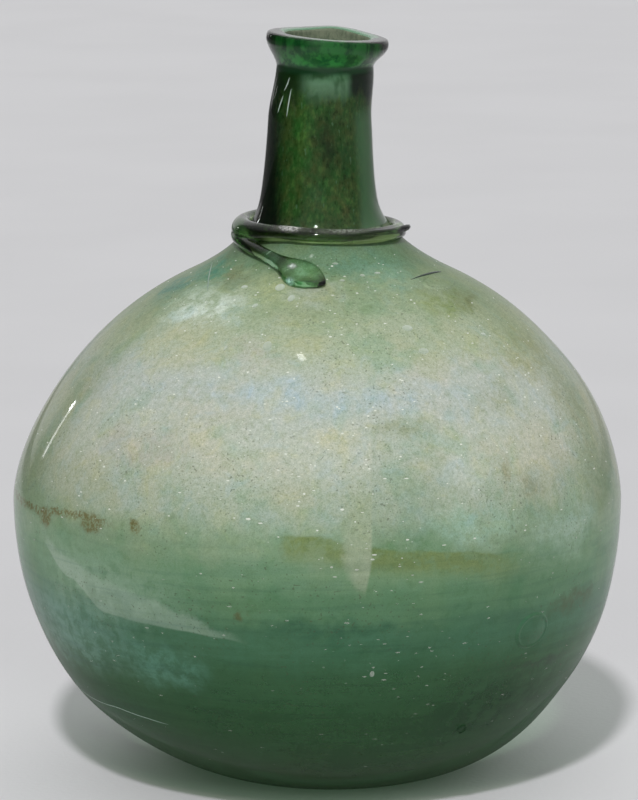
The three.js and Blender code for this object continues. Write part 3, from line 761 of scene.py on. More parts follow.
def bodyPlaces(tree):  # what the layers of the haze are drawn with
    place = millimetrePlace(tree)
    rough = raggedPlace(tree, place, *bodyFinish["roughWaver"])
    loose = raggedPlace(tree, place, *bodyFinish["looseWaver"])
    drawn = vectorCalc(tree, "ADD", loose, vectorCalc(tree, "SUBTRACT", rough, place))
    x, y, height = parts(tree, place)
    roughX, _, roughHeight = parts(tree, rough)
    hazy = ranged(tree, height, *bodyFinish["hazeFrom"])
    return SimpleNamespace(place=place, rough=rough, drawn=drawn, x=x, height=height, roughX=roughX, roughHeight=roughHeight,
                           drawnHeight=parts(tree, drawn)[2], front=ranged(tree, y, *bodyFinish["front"]),
                           hazy=hazy, clear=minus(tree, 1.0, hazy))


def patternNoise(tree, place, pattern):
    extra = {key: pattern[key] for key in ("stretch", "shift", "warp") if key in pattern}
    return noiseOf(tree, place, *pattern["noise"], **extra)


def patterned(tree, at, colour, name):
    pattern = hazePatterns[name]
    noise = patternNoise(tree, at.place, pattern)
    share = pattern["share"]
    if "where" in pattern:
        share = times(tree, getattr(at, pattern["where"]), share)
    if "elsewhere" in pattern:
        share = plus(tree, share, pattern["elsewhere"])
    for low, high, tone in pattern["tones"]:
        colour = mixColour(tree, times(tree, ranged(tree, noise, low, high), share), colour, tone, "MULTIPLY")
    return colour


def stained(tree, at, colour, worn):
    for middlePoint, reach, stain, strength in bodyStains.values():
        share = times(tree, spotOn(tree, at.drawn, middlePoint, reach, bodyFinish["stainSoftness"]), worn, strength)
        colour = mixColour(tree, share, colour, stain)
    return colour


def oliveBand(tree, at, colour, worn):
    band = hazeAreas["oliveBand"]
    roughly = plus(tree, times(tree, at.roughHeight, band["waver"]), times(tree, at.height, 1 - band["waver"]))
    under = minus(tree, lineAlong(tree, at.x, *band["top"]), roughly)
    area = times(tree, within(tree, under, *band["below"]), within(tree, at.roughX, *band["across"]), at.front)
    wornShare = ranged(tree, worn, *bodyFinish["wornLevels"][2:], *band["wornShare"])
    return mixColour(tree, times(tree, area, wornShare), colour, band["colour"])


def paintedReflections(tree, at, colour):  # painted reflections: a dimmer patch for a dark thing mirrored in the glass, and the pale upright strip at its left for a bright window
    dimmed = hazeAreas["darkReflectionPatch"]
    sides = times(tree, ranged(tree, at.x, *dimmed["left"]), ranged(tree, at.roughX, *dimmed["right"]))
    share = times(tree, sides, within(tree, at.drawnHeight, *dimmed["up"]), at.front, dimmed["share"])
    colour = mixColour(tree, share, colour, dimmed["tone"], "MULTIPLY")
    strip = hazeAreas["strip"]
    taper = ranged(tree, at.height, *strip["taper"])
    right = ranged(tree, plus(tree, at.x, times(tree, taper, strip["rightTaper"])), *strip["right"])
    left = ranged(tree, minus(tree, at.roughX, taper), *strip["left"])
    ends = times(tree, ranged(tree, at.roughHeight, *strip["bottom"]), ranged(tree, at.height, *strip["top"]))
    return mixColour(tree, times(tree, right, left, ends, at.front, strip["share"]), colour, strip["colour"])


# a paler patch low on the left front, with a sharp lower edge
def paleLowPatch(tree, at, colour):
    palePatch = hazeAreas["palePatch"]
    above = ranged(tree, minus(tree, at.height, lineAlong(tree, at.x, *palePatch["low"])), *palePatch["lowEdge"])
    below = ranged(tree, minus(tree, at.roughHeight, lineAlong(tree, at.x, *palePatch["high"])), *palePatch["highEdge"])
    share = times(tree, above, below, within(tree, at.x, *palePatch["across"]), at.front, palePatch["share"])
    return mixColour(tree, share, colour, palePatch["colour"])


def pitted(tree, at, colour):
    pits = hazeAreas["pits"]
    crowd = ranged(tree, noiseOf(tree, at.place, *pits["crowd"], shift=pits["crowdShift"]), *pits["crowdLevels"])
    share = times(tree, ranged(tree, noiseOf(tree, at.place, *pits["noise"]), *pits["levels"]), crowd, pits["share"])
    return mixColour(tree, share, colour, pits["colour"])


def tideStain(tree, at, colour):  # the burial crust's stain, which the crumbs of the tide line lie behind
    tide = hazeAreas["tide"]
    below = minus(tree, lineAlong(tree, at.x, *tide["line"]), at.roughHeight)
    crumbs = ranged(tree, noiseOf(tree, at.place, *tide["crumbs"], shift=tide["crumbShift"]), *tide["crumbLevels"])
    stain = times(tree, within(tree, below, *tide["below"]), crumbs, ranged(tree, at.x, *tide["right"]), at.front)
    someCrumbs = ranged(tree, crumbs, 0.0, 1.0, tide["leastCrumbs"], 1.0)
    for clump in tide["clumps"]:
        stain = calc(tree, "MAXIMUM", stain, times(tree, spotOn(tree, at.rough, *clump, 0.5), someCrumbs))
    return mixColour(tree, times(tree, stain, tide["share"]), colour, tide["colour"])


def bodyGlassMaterial():
    material, tree = newMaterial("green blown glass")
    at = bodyPlaces(tree)
    wander = plus(tree, at.height, times(tree, minus(tree, at.drawnHeight, at.height), bodyFinish["colourWander"]))
    colour = heightColour(tree, wander, bodyFinish["colours"])
    for name in ("blotches", "greens"):
        colour = patterned(tree, at, colour, name)
    worn = ranged(tree, patternNoise(tree, at.place, bodyFinish["worn"]), *bodyFinish["wornLevels"])
    colour = stained(tree, at, colour, worn)
    colour = oliveBand(tree, at, colour, worn)
    colour = paintedReflections(tree, at, colour)
    colour = paleLowPatch(tree, at, colour)
    for name in ("striae", "grain", "mottle", "patches", "sheen"):
        colour = patterned(tree, at, colour, name)
    colour = pitted(tree, at, colour)
    colour = tideStain(tree, at, colour)

    facing = addNode(tree, "ShaderNodeLayerWeight", {"Blend": 0.5}).outputs["Facing"]
    onEdge, strength, tone = bodyFinish["rim"]
    colour = mixColour(tree, times(tree, ranged(tree, facing, *onEdge), at.hazy, strength), colour, tone, "MULTIPLY")
    # painted reflection: the clear lower glass is drawn lighter on edge
    onEdge, rise, tone = bodyFinish["paintedEdgeReflection"]
    paintedEdgeReflection = times(tree, ranged(tree, facing, *onEdge), at.clear, ranged(tree, at.height, *rise))
    colour = mixColour(tree, paintedEdgeReflection, colour, tone, "MULTIPLY")

    cover, lightThrough = coverLetsLight(tree, heightShare(tree, at.height, bodyFinish["cover"]))
    tint = mixColour(tree, facing, bodyFinish["tintFront"], bodyFinish["tintEdge"])
    clear = seeThrough(tree, mixColour(tree, lightThrough, tint, bodyFinish["tintLight"]))
    haze = principled(tree, colour, bodyFinish["hazeRoughness"], {"IOR": bodyFinish["hazeIor"]}).outputs[0]
    mirror = addNode(tree, "ShaderNodeBsdfGlossy", {"Color": (1, 1, 1, 1), "Roughness": bodyFinish["gloss"]}).outputs[0]
    edge = addNode(tree, "ShaderNodeFresnel", {"IOR": bodyFinish["mirrorIor"]}).outputs[0]
    mirrored = times(tree, edge, heightShare(tree, at.height, bodyFinish["mirror"]))
    return finished(material, mixShader(tree, mirrored, mixShader(tree, cover, clear, haze), mirror))


def innerSkinMaterial():
    material, tree = newMaterial("inner wall of the glass")
    place = millimetrePlace(tree)
    cover, _ = coverLetsLight(tree, heightShare(tree, parts(tree, place)[2], bodyFinish["innerCover"]))
    cloudy = ranged(tree, patternNoise(tree, place, bodyFinish["innerNoise"]), *bodyFinish["innerLevels"])
    haze = principled(tree, mixColour(tree, cloudy, *bodyFinish["innerHaze"]), bodyFinish["innerRoughness"]).outputs[0]
    return finished(material, mixShader(tree, cover, seeThrough(tree, bodyFinish["innerTint"]), haze))


neckFinish = {
    "tint": (0.78, 0.94, 0.84),
    "depthColour": (0.20, 0.56, 0.28),
    "density": 300.0,
    "roughness": 0.03,
    "ior": 1.38,
    "darkSide": (-11.0, -7.0, 0.06, 1.0),  # across the neck, mm: from, to, and the light there
    "clearSide": (8.2, 10.8),
    "clearLean": (176.0, 0.06),  # the clear side spreads outward below this height, by so much in each mm
    "clearRise": (181, 174),
    "clearShare": 0.85,
    "clearColour": (1.0, 1.0, 0.98),
    "behindGlass": (0.58, 0.60, 0.50),
    "cloud": {"noise": (0.28, 3, 0.5), "stretch": (1, 1, 0.5), "shift": (2, 5, 1), "warp": 0.2},
    "cloudSwing": (0.3, 0.7, -1.0, 1.0),  # the film's edge wavers up and down with the cloud, by so much in mm
    "cloudReach": 2.0,
    "cloudLevels": (0.40, 0.62),
    "veil": ((0.86, 0.80, 0.80), (0.26, 0.30, 0.21)),  # the pale film near the lip, between its cloudy and its worn tone
    "veilFrom": (179.5, 184.5),
    "veilLeft": (-0.5, -5.5),
    "veilLeftColour": (0.10, 0.12, 0.05),
    "veilRight": (7.0, 9.2),
    "veilRightColour": (0.03, 0.035, 0.025),
    "throatFrom": (187.2, 188.8),
    "throatColour": (0.10, 0.21, 0.14),
    # painted glints: the lining behind the lip is drawn bright green, with bright specks and a near-white spot, for
    # light focused through the thick lip
    "lipFrom": (189.5, 191.5),
    "lipColours": ((0.45, 0.95, 0.50), (0.16, 0.42, 0.25)),
    "sparkle": {"noise": (0.35, 3, 0.6), "shift": (6, 2, 1)},
    "sparkleLevels": (0.40, 0.62),
    "lipSpark": ((-0.5, -13, 197.2), (5, 6, 3.2), 1.0),
    "sparkColour": (1.0, 1.0, 0.85),
    "farSide": (-2, 3),  # a dull film on the far side of the mouth
    "farLevels": (0.35, 0.65),
    "farColours": ((0.20, 0.225, 0.155), (0.12, 0.15, 0.10)),
    "liningRoughness": 0.85,
}


def neckGlassMaterial():
    material, tree = newMaterial("clear green neck glass")
    skin = principled(tree, neckFinish["tint"], neckFinish["roughness"], {"IOR": neckFinish["ior"], "Transmission Weight": 1.0})
    return finished(material, skin, thickGlass(tree, neckFinish))


crustZones = {  # the neck's crust by area: middle, reach, colour, share
    "lime left": ((-3.6, -10.5, 172), (3.6, 8, 14), (0.44, 0.66, 0.24), 0.9),
    "dark middle": ((2.6, -10.5, 170), (5.2, 8, 12), (0.17, 0.14, 0.085), 0.95),
    "olive low left": ((-5.8, -9.5, 156), (3.4, 8, 9), (0.46, 0.48, 0.20), 0.8),
    "teal low": ((0.4, -11, 156), (3.0, 8, 6), (0.36, 0.54, 0.36), 0.7),
    "brown low right": ((6.4, -9, 153), (5.4, 9, 8), (0.80, 0.60, 0.30), 0.9),
    "green right": ((6.8, -9, 166), (2.0, 7, 8), (0.16, 0.32, 0.17), 0.7),
    "grey streak": ((-5.9, -9.5, 181), (0.9, 5, 5), (0.85, 0.72, 0.66), 0.7),
}

crustFinish = {
    "base": (0.42, 0.44, 0.20),
    "waver": (0.3, 5.0),
    "grain": {"noise": (0.95, 3, 0.7), "stretch": (1, 1, 0.5)},
    "hue": {"noise": (0.42, 3, 0.6), "stretch": (1, 1, 0.55), "shift": (4, 0, 2), "warp": 0.3},
    "hueShare": 0.8,
    "hueTones": ((0.36, (0.62, 0.96, 0.80)), (0.50, (1.0, 1.0, 1.0)), (0.62, (1.28, 0.92, 0.95))),
    "grainTones": ((0.32, (0.46, 0.43, 0.40)), (0.45, (0.84, 0.84, 0.80)), (0.54, (1.0, 1.0, 1.0)), (0.66, (1.5, 1.48, 1.45))),
    "flecks": {"noise": (1.3, 1, 0.5), "stretch": (1, 1, 0.4), "shift": (8, 8, 8)},
    "fleckLevels": (0.70, 0.76),
    "fleckShare": 0.6,
    "fleckColour": (0.85, 0.95, 0.80),
}


def crustColour(tree, place):
    rough = raggedPlace(tree, place, *crustFinish["waver"])
    grain, hue, flecks = (patternNoise(tree, place, crustFinish[key]) for key in ("grain", "hue", "flecks"))
    colour = crustFinish["base"]
    for middlePoint, reach, tone, strength in crustZones.values():
        colour = mixColour(tree, times(tree, spotOn(tree, rough, middlePoint, reach, 1.0), strength), colour, tone)
    colour = mixColour(tree, crustFinish["hueShare"], colour, ramp(tree, hue, *crustFinish["hueTones"]), "MULTIPLY")
    colour = mixColour(tree, 1.0, colour, ramp(tree, grain, *crustFinish["grainTones"]), "MULTIPLY")
    share = times(tree, ranged(tree, flecks, *crustFinish["fleckLevels"]), crustFinish["fleckShare"])
    return mixColour(tree, share, colour, crustFinish["fleckColour"]), grain


def veilColour(tree, across, cloud):
    veil = mixColour(tree, ranged(tree, cloud, *neckFinish["cloudLevels"]), *neckFinish["veil"])
    veil = mixColour(tree, ranged(tree, across, *neckFinish["veilLeft"]), veil, neckFinish["veilLeftColour"])
    return mixColour(tree, ranged(tree, across, *neckFinish["veilRight"]), veil, neckFinish["veilRightColour"])


def neckLiningMaterial():
    material, tree = newMaterial("crusted inner wall of the neck")
    place = millimetrePlace(tree)
    across, deep, height = parts(tree, place)
    colour, grain = crustColour(tree, place)
    leanHeight, lean = neckFinish["clearLean"]
    leaning = minus(tree, across, times(tree, minus(tree, leanHeight, height), lean))
    clearSide = times(tree, ranged(tree, leaning, *neckFinish["clearSide"]), ranged(tree, height, *neckFinish["clearRise"]))
    colour = mixColour(tree, times(tree, clearSide, neckFinish["clearShare"]), colour, neckFinish["clearColour"])
    colour = mixColour(tree, 1.0, colour, neckFinish["behindGlass"], "MULTIPLY")
    cloud = patternNoise(tree, place, neckFinish["cloud"])
    cloudyHeight = plus(tree, height, times(tree, ranged(tree, cloud, *neckFinish["cloudSwing"]), neckFinish["cloudReach"]))
    colour = mixColour(tree, ranged(tree, cloudyHeight, *neckFinish["veilFrom"]), colour, veilColour(tree, across, cloud))
    colour = mixColour(tree, ranged(tree, height, *neckFinish["throatFrom"]), colour, neckFinish["throatColour"])
    # painted glints of the lip: bright specks and a near-white spot on the lining behind it
    sparkle = ranged(tree, patternNoise(tree, place, neckFinish["sparkle"]), *neckFinish["sparkleLevels"])
    bright = mixColour(tree, sparkle, *neckFinish["lipColours"])
    bright = mixColour(tree, spotOn(tree, place, *neckFinish["lipSpark"]), bright, neckFinish["sparkColour"])
    lip = ranged(tree, height, *neckFinish["lipFrom"])
    colour = mixColour(tree, lip, colour, bright)
    far = times(tree, lip, ranged(tree, deep, *neckFinish["farSide"]))
    dull = mixColour(tree, ranged(tree, grain, *neckFinish["farLevels"]), *neckFinish["farColours"])
    colour = mixColour(tree, far, colour, dull)
    light = calc(tree, "MAXIMUM", ranged(tree, across, *neckFinish["darkSide"]), far)
    return finished(material, principled(tree, mixColour(tree, 1.0, colour, light, "MULTIPLY"), neckFinish["liningRoughness"]))


bodyGlass = bodyGlassMaterial()
innerSkin = innerSkinMaterial()
neckGlass = neckGlassMaterial()
neckLining = neckLiningMaterial()


def makeVessel():
    lip = lipProfile()
    inner = innerWall[::-1][::2]
    if inner[-1][0] > 1e-6:
        inner = np.concatenate([inner, innerWall[:1]])
    profile = np.concatenate([bowl, lip, inner])
    skin = np.concatenate([np.zeros(len(bowl) + len(lip)), np.ones(len(inner))])
    height = profile[:, 1]
    skin = np.where((height > bodyFinish["neckFrom"]) & (skin == 0), 2, skin)
    skin[len(bowl):len(bowl) + len(lip)] = np.where(lip[:, 0] < mouthRadius + form.mouthEdgeRadius * 0.4, 3, 2)
    skin = np.where((height > bodyFinish["liningFrom"]) & (skin == 1), 3, skin)
    free = smooth(height, *bodyFinish["wobbleRise"]) * (1 - smooth(height, *bodyFinish["wobbleFall"]))
    free += bodyFinish["rootWobble"] * smooth(height, *bodyFinish["rootRise"])
    values = {"Turns": bodyFinish["turns"], "Wobble": bodyFinish["wobble"] * mm, "WobbleSize": bodyFinish["wobbleSize"] * mm,
              "WobbleHeight": form.bellyHeight * mm, "Seed": bodyFinish["wobbleSeed"],
              "Outer": bodyGlass, "Inner": innerSkin, "Neck": neckGlass, "Lining": neckLining}
    vessel = facesOutward(turnedPiece("blownVessel", profile, skin, values, free))
    return ridesRoot(vessel, "body_glass", "vessel")


blownVessel = makeVessel()
print("vessel made", len(blownVessel.data.polygons), "faces", [m.name for m in blownVessel.data.materials])


# The applied trail: swept along its winding, fused where its turns touch, and seated on the shoulder

woundTrail = {
    "coilHalfWidth": 2.15, "tailHalfWidth": 1.8, "halfHeight": 1.65,
    "endHalfWidth": 2.9, "endHalfHeight": 2.3, "endDrop": 1.9,  # the last stretch is fatter, and sags
    "coilSeatRadius": 20.3, "coilOverlap": 1.4,
    "padReach": 15.8, "padHalfWidth": 5.0, "padHalfHeight": 2.0, "padStart": 88.5, "padLength": 28.0,
    "drawAngle": 35.0, "climbStart": 330.0, "climbEnd": 546.0, "coilEnd": 585.0,  # degrees clockwise from +X, seen from above
    "fatFrom": 470.0, "fatTo": 522.0,
    "threadRadius": 0.85, "threadStart": 364.0, "threadEnd": 452.0, "snappedEndReach": 1.5,
    "lift": 0.7,  # how high the middle of the strand lies over the glass, of its half height
    "padPeak": 0.42, "padSpread": 0.34, "padLift": 0.25,  # where the pad is widest and how far it reaches, of its length; its lift
    "rounding": 0.25, "tipShare": 0.05,  # the ends round off over this much of the pad's length, to this share of the full size
    "thickening": (2.5, 6),  # the tail grows to the coil's width between these lengths of the pad
    "threadMerges": 0.55, "threadStands": 0.8, "threadFree": 0.2, "snapped": 0.04, "snappedSize": 0.8,
    "stations": 460, "sides": 20, "voxel": 0.3, "gap": 0.06,
}
wound = SimpleNamespace(**woundTrail)
upTheGlass = bowl[bowl[:, 1] >= form.bellyHeight]
upDistance = np.concatenate([[0], np.cumsum(np.linalg.norm(np.diff(upTheGlass, axis=0), axis=1))])
coilDistance = np.interp(-wound.coilSeatRadius, -upTheGlass[:, 0], upDistance)


def glassAt(distance):
    return np.stack([np.interp(distance, upDistance, upTheGlass[:, k]) for k in (0, 1)], -1)


def trailSeat(winding):
    climb = 2 * wound.coilHalfWidth - wound.coilOverlap
    climb = climb * smooth(winding, wound.climbStart, wound.climbEnd) - wound.endDrop * smooth(winding, wound.fatFrom, wound.fatTo)
    return coilDistance - wound.padReach * np.exp(-(winding - wound.padStart) / wound.drawAngle) + climb


def trailPath(winding, lift):
    seat = trailSeat(winding)
    chord = glassAt(seat + wound.tailHalfWidth) - glassAt(seat - wound.tailHalfWidth)
    chord /= np.linalg.norm(chord, axis=1)[:, None]
    angle = np.radians(winding)
    out = np.stack([np.cos(angle), -np.sin(angle), 0 * angle], 1)
    away = out * chord[:, 1:] + np.array([0, 0, 1.0]) * -chord[:, :1]
    place = glassAt(seat)
    middleLine = out * place[:, :1] + np.array([0, 0, 1.0]) * place[:, 1:] + away * np.reshape(lift, (-1, 1))
    middleLine[:, 0] += strayAt(middleLine[:, 2])
    return middleLine, away, out


def trailStations():
    winding = np.linspace(wound.padStart, wound.coilEnd, wound.stations)
    fromPad = (winding - wound.padStart) / wound.padLength
    swell = np.exp(-((fromPad - wound.padPeak) / wound.padSpread) ** 2)
    closing = np.minimum(fromPad, (wound.coilEnd - winding) / wound.padLength)
    rounded = np.maximum(np.sqrt(np.maximum(1 - np.maximum(1 - closing / wound.rounding, 0) ** 2, 0)), wound.tipShare)
    fat = smooth(winding, wound.fatFrom, wound.fatTo)
    strand = lerp(lerp(wound.tailHalfWidth, wound.coilHalfWidth, smooth(fromPad, *wound.thickening)), wound.endHalfWidth, fat)
    strandHeight = lerp(wound.halfHeight, wound.endHalfHeight, fat)
    middleLine, away, _ = trailPath(winding, lerp(strandHeight * wound.lift, wound.padHalfHeight * wound.padLift, swell))
    across = rounded * lerp(strand, wound.padHalfWidth, swell)
    high = rounded * lerp(strandHeight, wound.padHalfHeight, swell)
    winding = np.linspace(wound.threadStart, wound.threadEnd, wound.stations // 4)
    share = (winding - wound.threadStart) / (wound.threadEnd - wound.threadStart)
    threadLine, threadAway, out = trailPath(winding, np.full(len(winding), wound.halfHeight * wound.lift))
    merged = smooth(share, wound.threadMerges, 1)
    threadLine += threadAway * (wound.halfHeight * wound.threadStands * (1 - merged))[:, None]
    threadLine += out * (wound.snappedEndReach * (1 - smooth(share, 0, wound.threadFree)))[:, None]
    threadSize = wound.threadRadius * np.where(share < wound.snapped, wound.snappedSize, 1)
    count = len(middleLine)
    points = np.concatenate([middleLine, threadLine]) * mm
    edges = [(i, i + 1) for i in range(len(points) - 1) if i != count - 1]
    attributes = {"away": np.concatenate([away, threadAway]), "middle": points,
                  "acrossHalf": np.concatenate([across, threadSize]) * mm, "highHalf": np.concatenate([high, threadSize]) * mm}
    return wireMesh("trailPath", points, edges, attributes)


def sweepTree():
    tree, given = startTree("swept trail", Sides=("Int", 16), Sink=("Float", 0.0), Glass=("Material", None))
    sweep = given.outputs
    path = addNode(tree, "GeometryNodeMeshToCurve", {0: sweep["Geometry"]})
    ring = addNode(tree, "GeometryNodeCurvePrimitiveCircle", {"Resolution": sweep["Sides"], "Radius": mm})
    tube = addNode(tree, "GeometryNodeCurveToMesh", {"Curve": path, "Profile Curve": ring, "Fill Caps": True})
    middleLine, away = stored(tree, "middle", "FLOAT_VECTOR"), stored(tree, "away", "FLOAT_VECTOR")
    fromMiddle = vectorCalc(tree, "SCALE", vectorCalc(tree, "SUBTRACT", placeOf(tree), middleLine), 1 / mm)
    level = vectorCalc(tree, "SCALE", fromMiddle, stored(tree, "acrossHalf"))
    flatter = minus(tree, stored(tree, "highHalf"), stored(tree, "acrossHalf"))
    rise = vectorCalc(tree, "SCALE", away, times(tree, vectorCalc(tree, "DOT_PRODUCT", fromMiddle, away), flatter))
    oval = vectorCalc(tree, "ADD", vectorCalc(tree, "ADD", middleLine, level), rise)
    seated = vectorCalc(tree, "SUBTRACT", oval, vectorCalc(tree, "SCALE", away, sweep["Sink"]))
    return endTree(tree, moveTo(tree, tube, seated), sweep["Glass"])


def surfaceSearch(piece, skin=None):
    mesh = piece.data
    places = [v.co.copy() for v in mesh.vertices]
    faces = [list(f.vertices) for f in mesh.polygons if skin is None or f.material_index == skin]
    return BVHTree.FromPolygons(places, faces)


glassSearch = surfaceSearch(blownVessel, 0)


def seatOn(piece, search, gap):
    for vertex in piece.data.vertices:
        place, normal, _, _ = search.find_nearest(vertex.co)
        if (vertex.co - place).dot(normal) < gap:
            vertex.co = place + normal * gap


def useModifier(piece, kind, **settings):
    modifier = piece.modifiers.new(kind.lower(), kind)
    for key, value in settings.items():
        setattr(modifier, key, value)
    ready = bpy.context.evaluated_depsgraph_get()
    mesh = bpy.data.meshes.new_from_object(piece.evaluated_get(ready), preserve_all_data_layers=True, depsgraph=ready)
    piece.modifiers.remove(modifier)
    old, piece.data = piece.data, mesh
    bpy.data.meshes.remove(old)
    return piece


trailFinish = {
    "tint": (0.25, 0.29, 0.14),
    "patches": (((-4.5, -28.5, 138.2), (7.5, 9, 6), (0.90, 1.0, 0.92)),  # the pad, the tail and the nub: middle, reach and tint
                ((-13.5, -22.9, 141.2), (6.0, 6.0, 4.0), (0.56, 0.72, 0.62)),
                ((-20.5, -6.0, 149.5), (5.0, 11, 4.5), (0.06, 0.09, 0.05)),
                # painted light: the coil's lower front is tinted a lighter green, for light focused through the coil
                ((3.0, -22.0, 146.2), (16, 5, 1.5), (0.50, 0.66, 0.32)),
                ((20.5, 3.5, 148.6), (5.0, 7.0, 3.0), (0.14, 0.18, 0.10)),
                ((21.5, -3.5, 149.5), (2.6, 3.0, 2.6), (0.95, 0.95, 0.80))),
    "patchSoftness": 0.45,
    "streaks": {"noise": (0.5, 3, 0.6)},
    "streakLevels": (0.45, 0.7),
    "streakShare": 0.5,
    "streakTone": (0.62, 0.60, 0.45),
    "roughness": 0.05,
    "ior": 1.44,
    "depthColour": (0.50, 0.82, 0.50),
    "density": 160.0,
    "filmsAndGlints": (((-7.0, -19.0, 149.6), (5.5, 5.0, 2.0), 0.95, (0.84, 0.84, 0.80)),  # painted highlights, glints and sheen, partly a pale weathering film: middle, reach, share, colour
              ((-7.0, -19.0, 149.3), (12.0, 5.0, 1.6), 0.35, (0.42, 0.40, 0.38)),
              ((8.0, -19.5, 148.6), (13.0, 6.0, 1.4), 0.45, (0.46, 0.50, 0.42)),
              ((-6.5, -28.6, 140.4), (1.6, 1.8, 1.2), 0.8, (0.70, 0.74, 0.72)),
              ((-6.9, -31.3, 136.8), (1.9, 1.9, 1.6), 0.9, (0.52, 0.86, 0.72)),
              ((-11.5, -26.6, 139.6), (2.6, 1.8, 0.9), 0.7, (0.40, 0.72, 0.44))),
    "filmAndGlintSoftness": 0.9,
    "filmAndGlintRoughness": 0.35,
    "flakes": {"noise": (1.6, 3, 0.6), "shift": (7, 1, 2)},
    "flakeLevels": (0.36, 0.60, 0.25, 1.0),
}


def trailGlassMaterial():
    material, tree = newMaterial("dark green trail glass")
    place = millimetrePlace(tree)
    tint = trailFinish["tint"]
    for middlePoint, reach, lighter in trailFinish["patches"]:
        tint = mixColour(tree, spotOn(tree, place, middlePoint, reach, trailFinish["patchSoftness"]), tint, lighter)
    streaks = ranged(tree, patternNoise(tree, place, trailFinish["streaks"]), *trailFinish["streakLevels"])
    tint = mixColour(tree, times(tree, streaks, trailFinish["streakShare"]), tint, trailFinish["streakTone"], "MULTIPLY")
    skin = principled(tree, tint, trailFinish["roughness"], {"IOR": trailFinish["ior"], "Transmission Weight": 1.0})
    # painted highlights, glints and sheen on the trail, laid on partly as a pale weathering film
    share, filmAndGlintColour = 0.0, (0.5, 0.5, 0.5)
    for middlePoint, reach, strength, tone in trailFinish["filmsAndGlints"]:
        here = times(tree, spotOn(tree, place, middlePoint, reach, trailFinish["filmAndGlintSoftness"]), strength)
        filmAndGlintColour = mixColour(tree, calc(tree, "GREATER_THAN", here, share), filmAndGlintColour, tone)
        share = calc(tree, "MAXIMUM", share, here)
    flaked = ranged(tree, patternNoise(tree, place, trailFinish["flakes"]), *trailFinish["flakeLevels"])
    palePatch = principled(tree, filmAndGlintColour, trailFinish["filmAndGlintRoughness"])
    surface = mixShader(tree, times(tree, share, flaked), skin, palePatch)
    return finished(material, surface, thickGlass(tree, trailFinish))


trailGlass = trailGlassMaterial()


def makeTrail():
    trail = meshFromNodes("woundTrail", trailStations(), sweepTree(), {"Sides": wound.sides, "Sink": 0.0, "Glass": trailGlass})
    useModifier(trail, "REMESH", mode="VOXEL", voxel_size=wound.voxel * mm, use_smooth_shade=True)
    useModifier(trail, "SMOOTH", factor=0.5, iterations=3)
    seatOn(trail, glassSearch, wound.gap * mm)
    trail.data.materials.clear()
    trail.data.materials.append(trailGlass)
    return ridesRoot(trail, "trail_glass", "neck_trail")


trailPiece = makeTrail()
print("trail made", len(trailPiece.data.polygons), "faces")

# Glass left under the base by the rod, torn and rough

scar = {
    "radius": 9.0, "width": 4.0, "thickness": 1.1, "turns": 120, "steps": 13,
    "sink": 0.3,  # how deep the scar sits in the glass of the base
    "edgeShare": 0.35,  # its thickness at the edges, of the full one
    "pull": 0.07,  # how much the torn outline wavers
    "broken": 0.5,  # how broken its lower face is
    "chips": {"noise": (0.9, 4, 0.6)},
    "colours": ((0.10, 0.22, 0.14), (0.30, 0.42, 0.34)),
    "opacity": (0.2, 0.8, 0.6, 0.95),
    "roughness": 0.3,
    "bump": (0.6, 0.6),
}


def scarGlassMaterial():
    material, tree = newMaterial("torn scar glass")
    chips = patternNoise(tree, millimetrePlace(tree), scar["chips"])
    more = {**bumped(tree, chips, *scar["bump"]), "Alpha": ranged(tree, chips, *scar["opacity"])}
    return finished(material, principled(tree, mixColour(tree, chips, *scar["colours"]), scar["roughness"], more))


def oneFinish(finish):  # the same material on all four skins of a turned piece, which keeps still
    return {"Wobble": 0.0, "Outer": finish, "Inner": finish, "Neck": finish, "Lining": finish}


def makeScar():
    kickRadius = form.footRadius - form.footWidth
    dome = lambda radius: form.kickDepth * np.cos(radius / kickRadius * math.pi / 2) ** 2 - scar["sink"]
    radii = np.linspace(scar["radius"] - scar["width"], scar["radius"], scar["steps"])
    bulge = np.sin(math.pi * np.linspace(0, 1, scar["steps"]))
    torn = np.stack([radii, dome(radii) - scar["thickness"] * lerp(scar["edgeShare"], 1, bulge)], 1)
    seat = np.stack([radii, dome(radii)], 1)[::-1]
    profile = np.concatenate([torn, seat, torn[:1]])
    values = {"Turns": scar["turns"], **oneFinish(scarGlassMaterial())}
    piece = turnedPiece("pontilScar", profile, np.zeros(len(profile)), values)
    for vertex in piece.data.vertices:  # the torn outline wavers, and its lower face is broken
        x, y, z = vertex.co
        x -= form.footStray * mm
        azimuth = math.atan2(y, x)
        radius = math.hypot(x, y) / mm
        pull = 1 - scar["pull"] * (1 + math.sin(3 * azimuth) * math.cos(azimuth + 1))
        depth = dome(radius) - z / mm
        depth *= 1 + scar["broken"] * math.sin(7 * azimuth + radius) * math.sin(11 * azimuth - 2 * radius) * min(depth, 1)
        vertex.co = (form.footStray * mm + x * pull, y * pull, (dome(radius * pull) - depth) * mm)
    return ridesRoot(facesOutward(piece), "scar_glass", "pontil_scar")


makeScar()
print("scar made")

# Burial crust lining the neck

neckCrust = {
    "rise": 3.9,  # from the crown to its lower edge
    "gap": 0.3,
    "thickness": 0.4,
    "turns": 120,
    "roughness": 0.85,
    "bump": (0.6, 0.3),  # strength, and depth in mm
}


def neckCrustMaterial():
    material, tree = newMaterial("olive burial crust")
    colour, grain = crustColour(tree, millimetrePlace(tree))
    return finished(material, principled(tree, colour, neckCrust["roughness"], bumped(tree, grain, *neckCrust["bump"])))


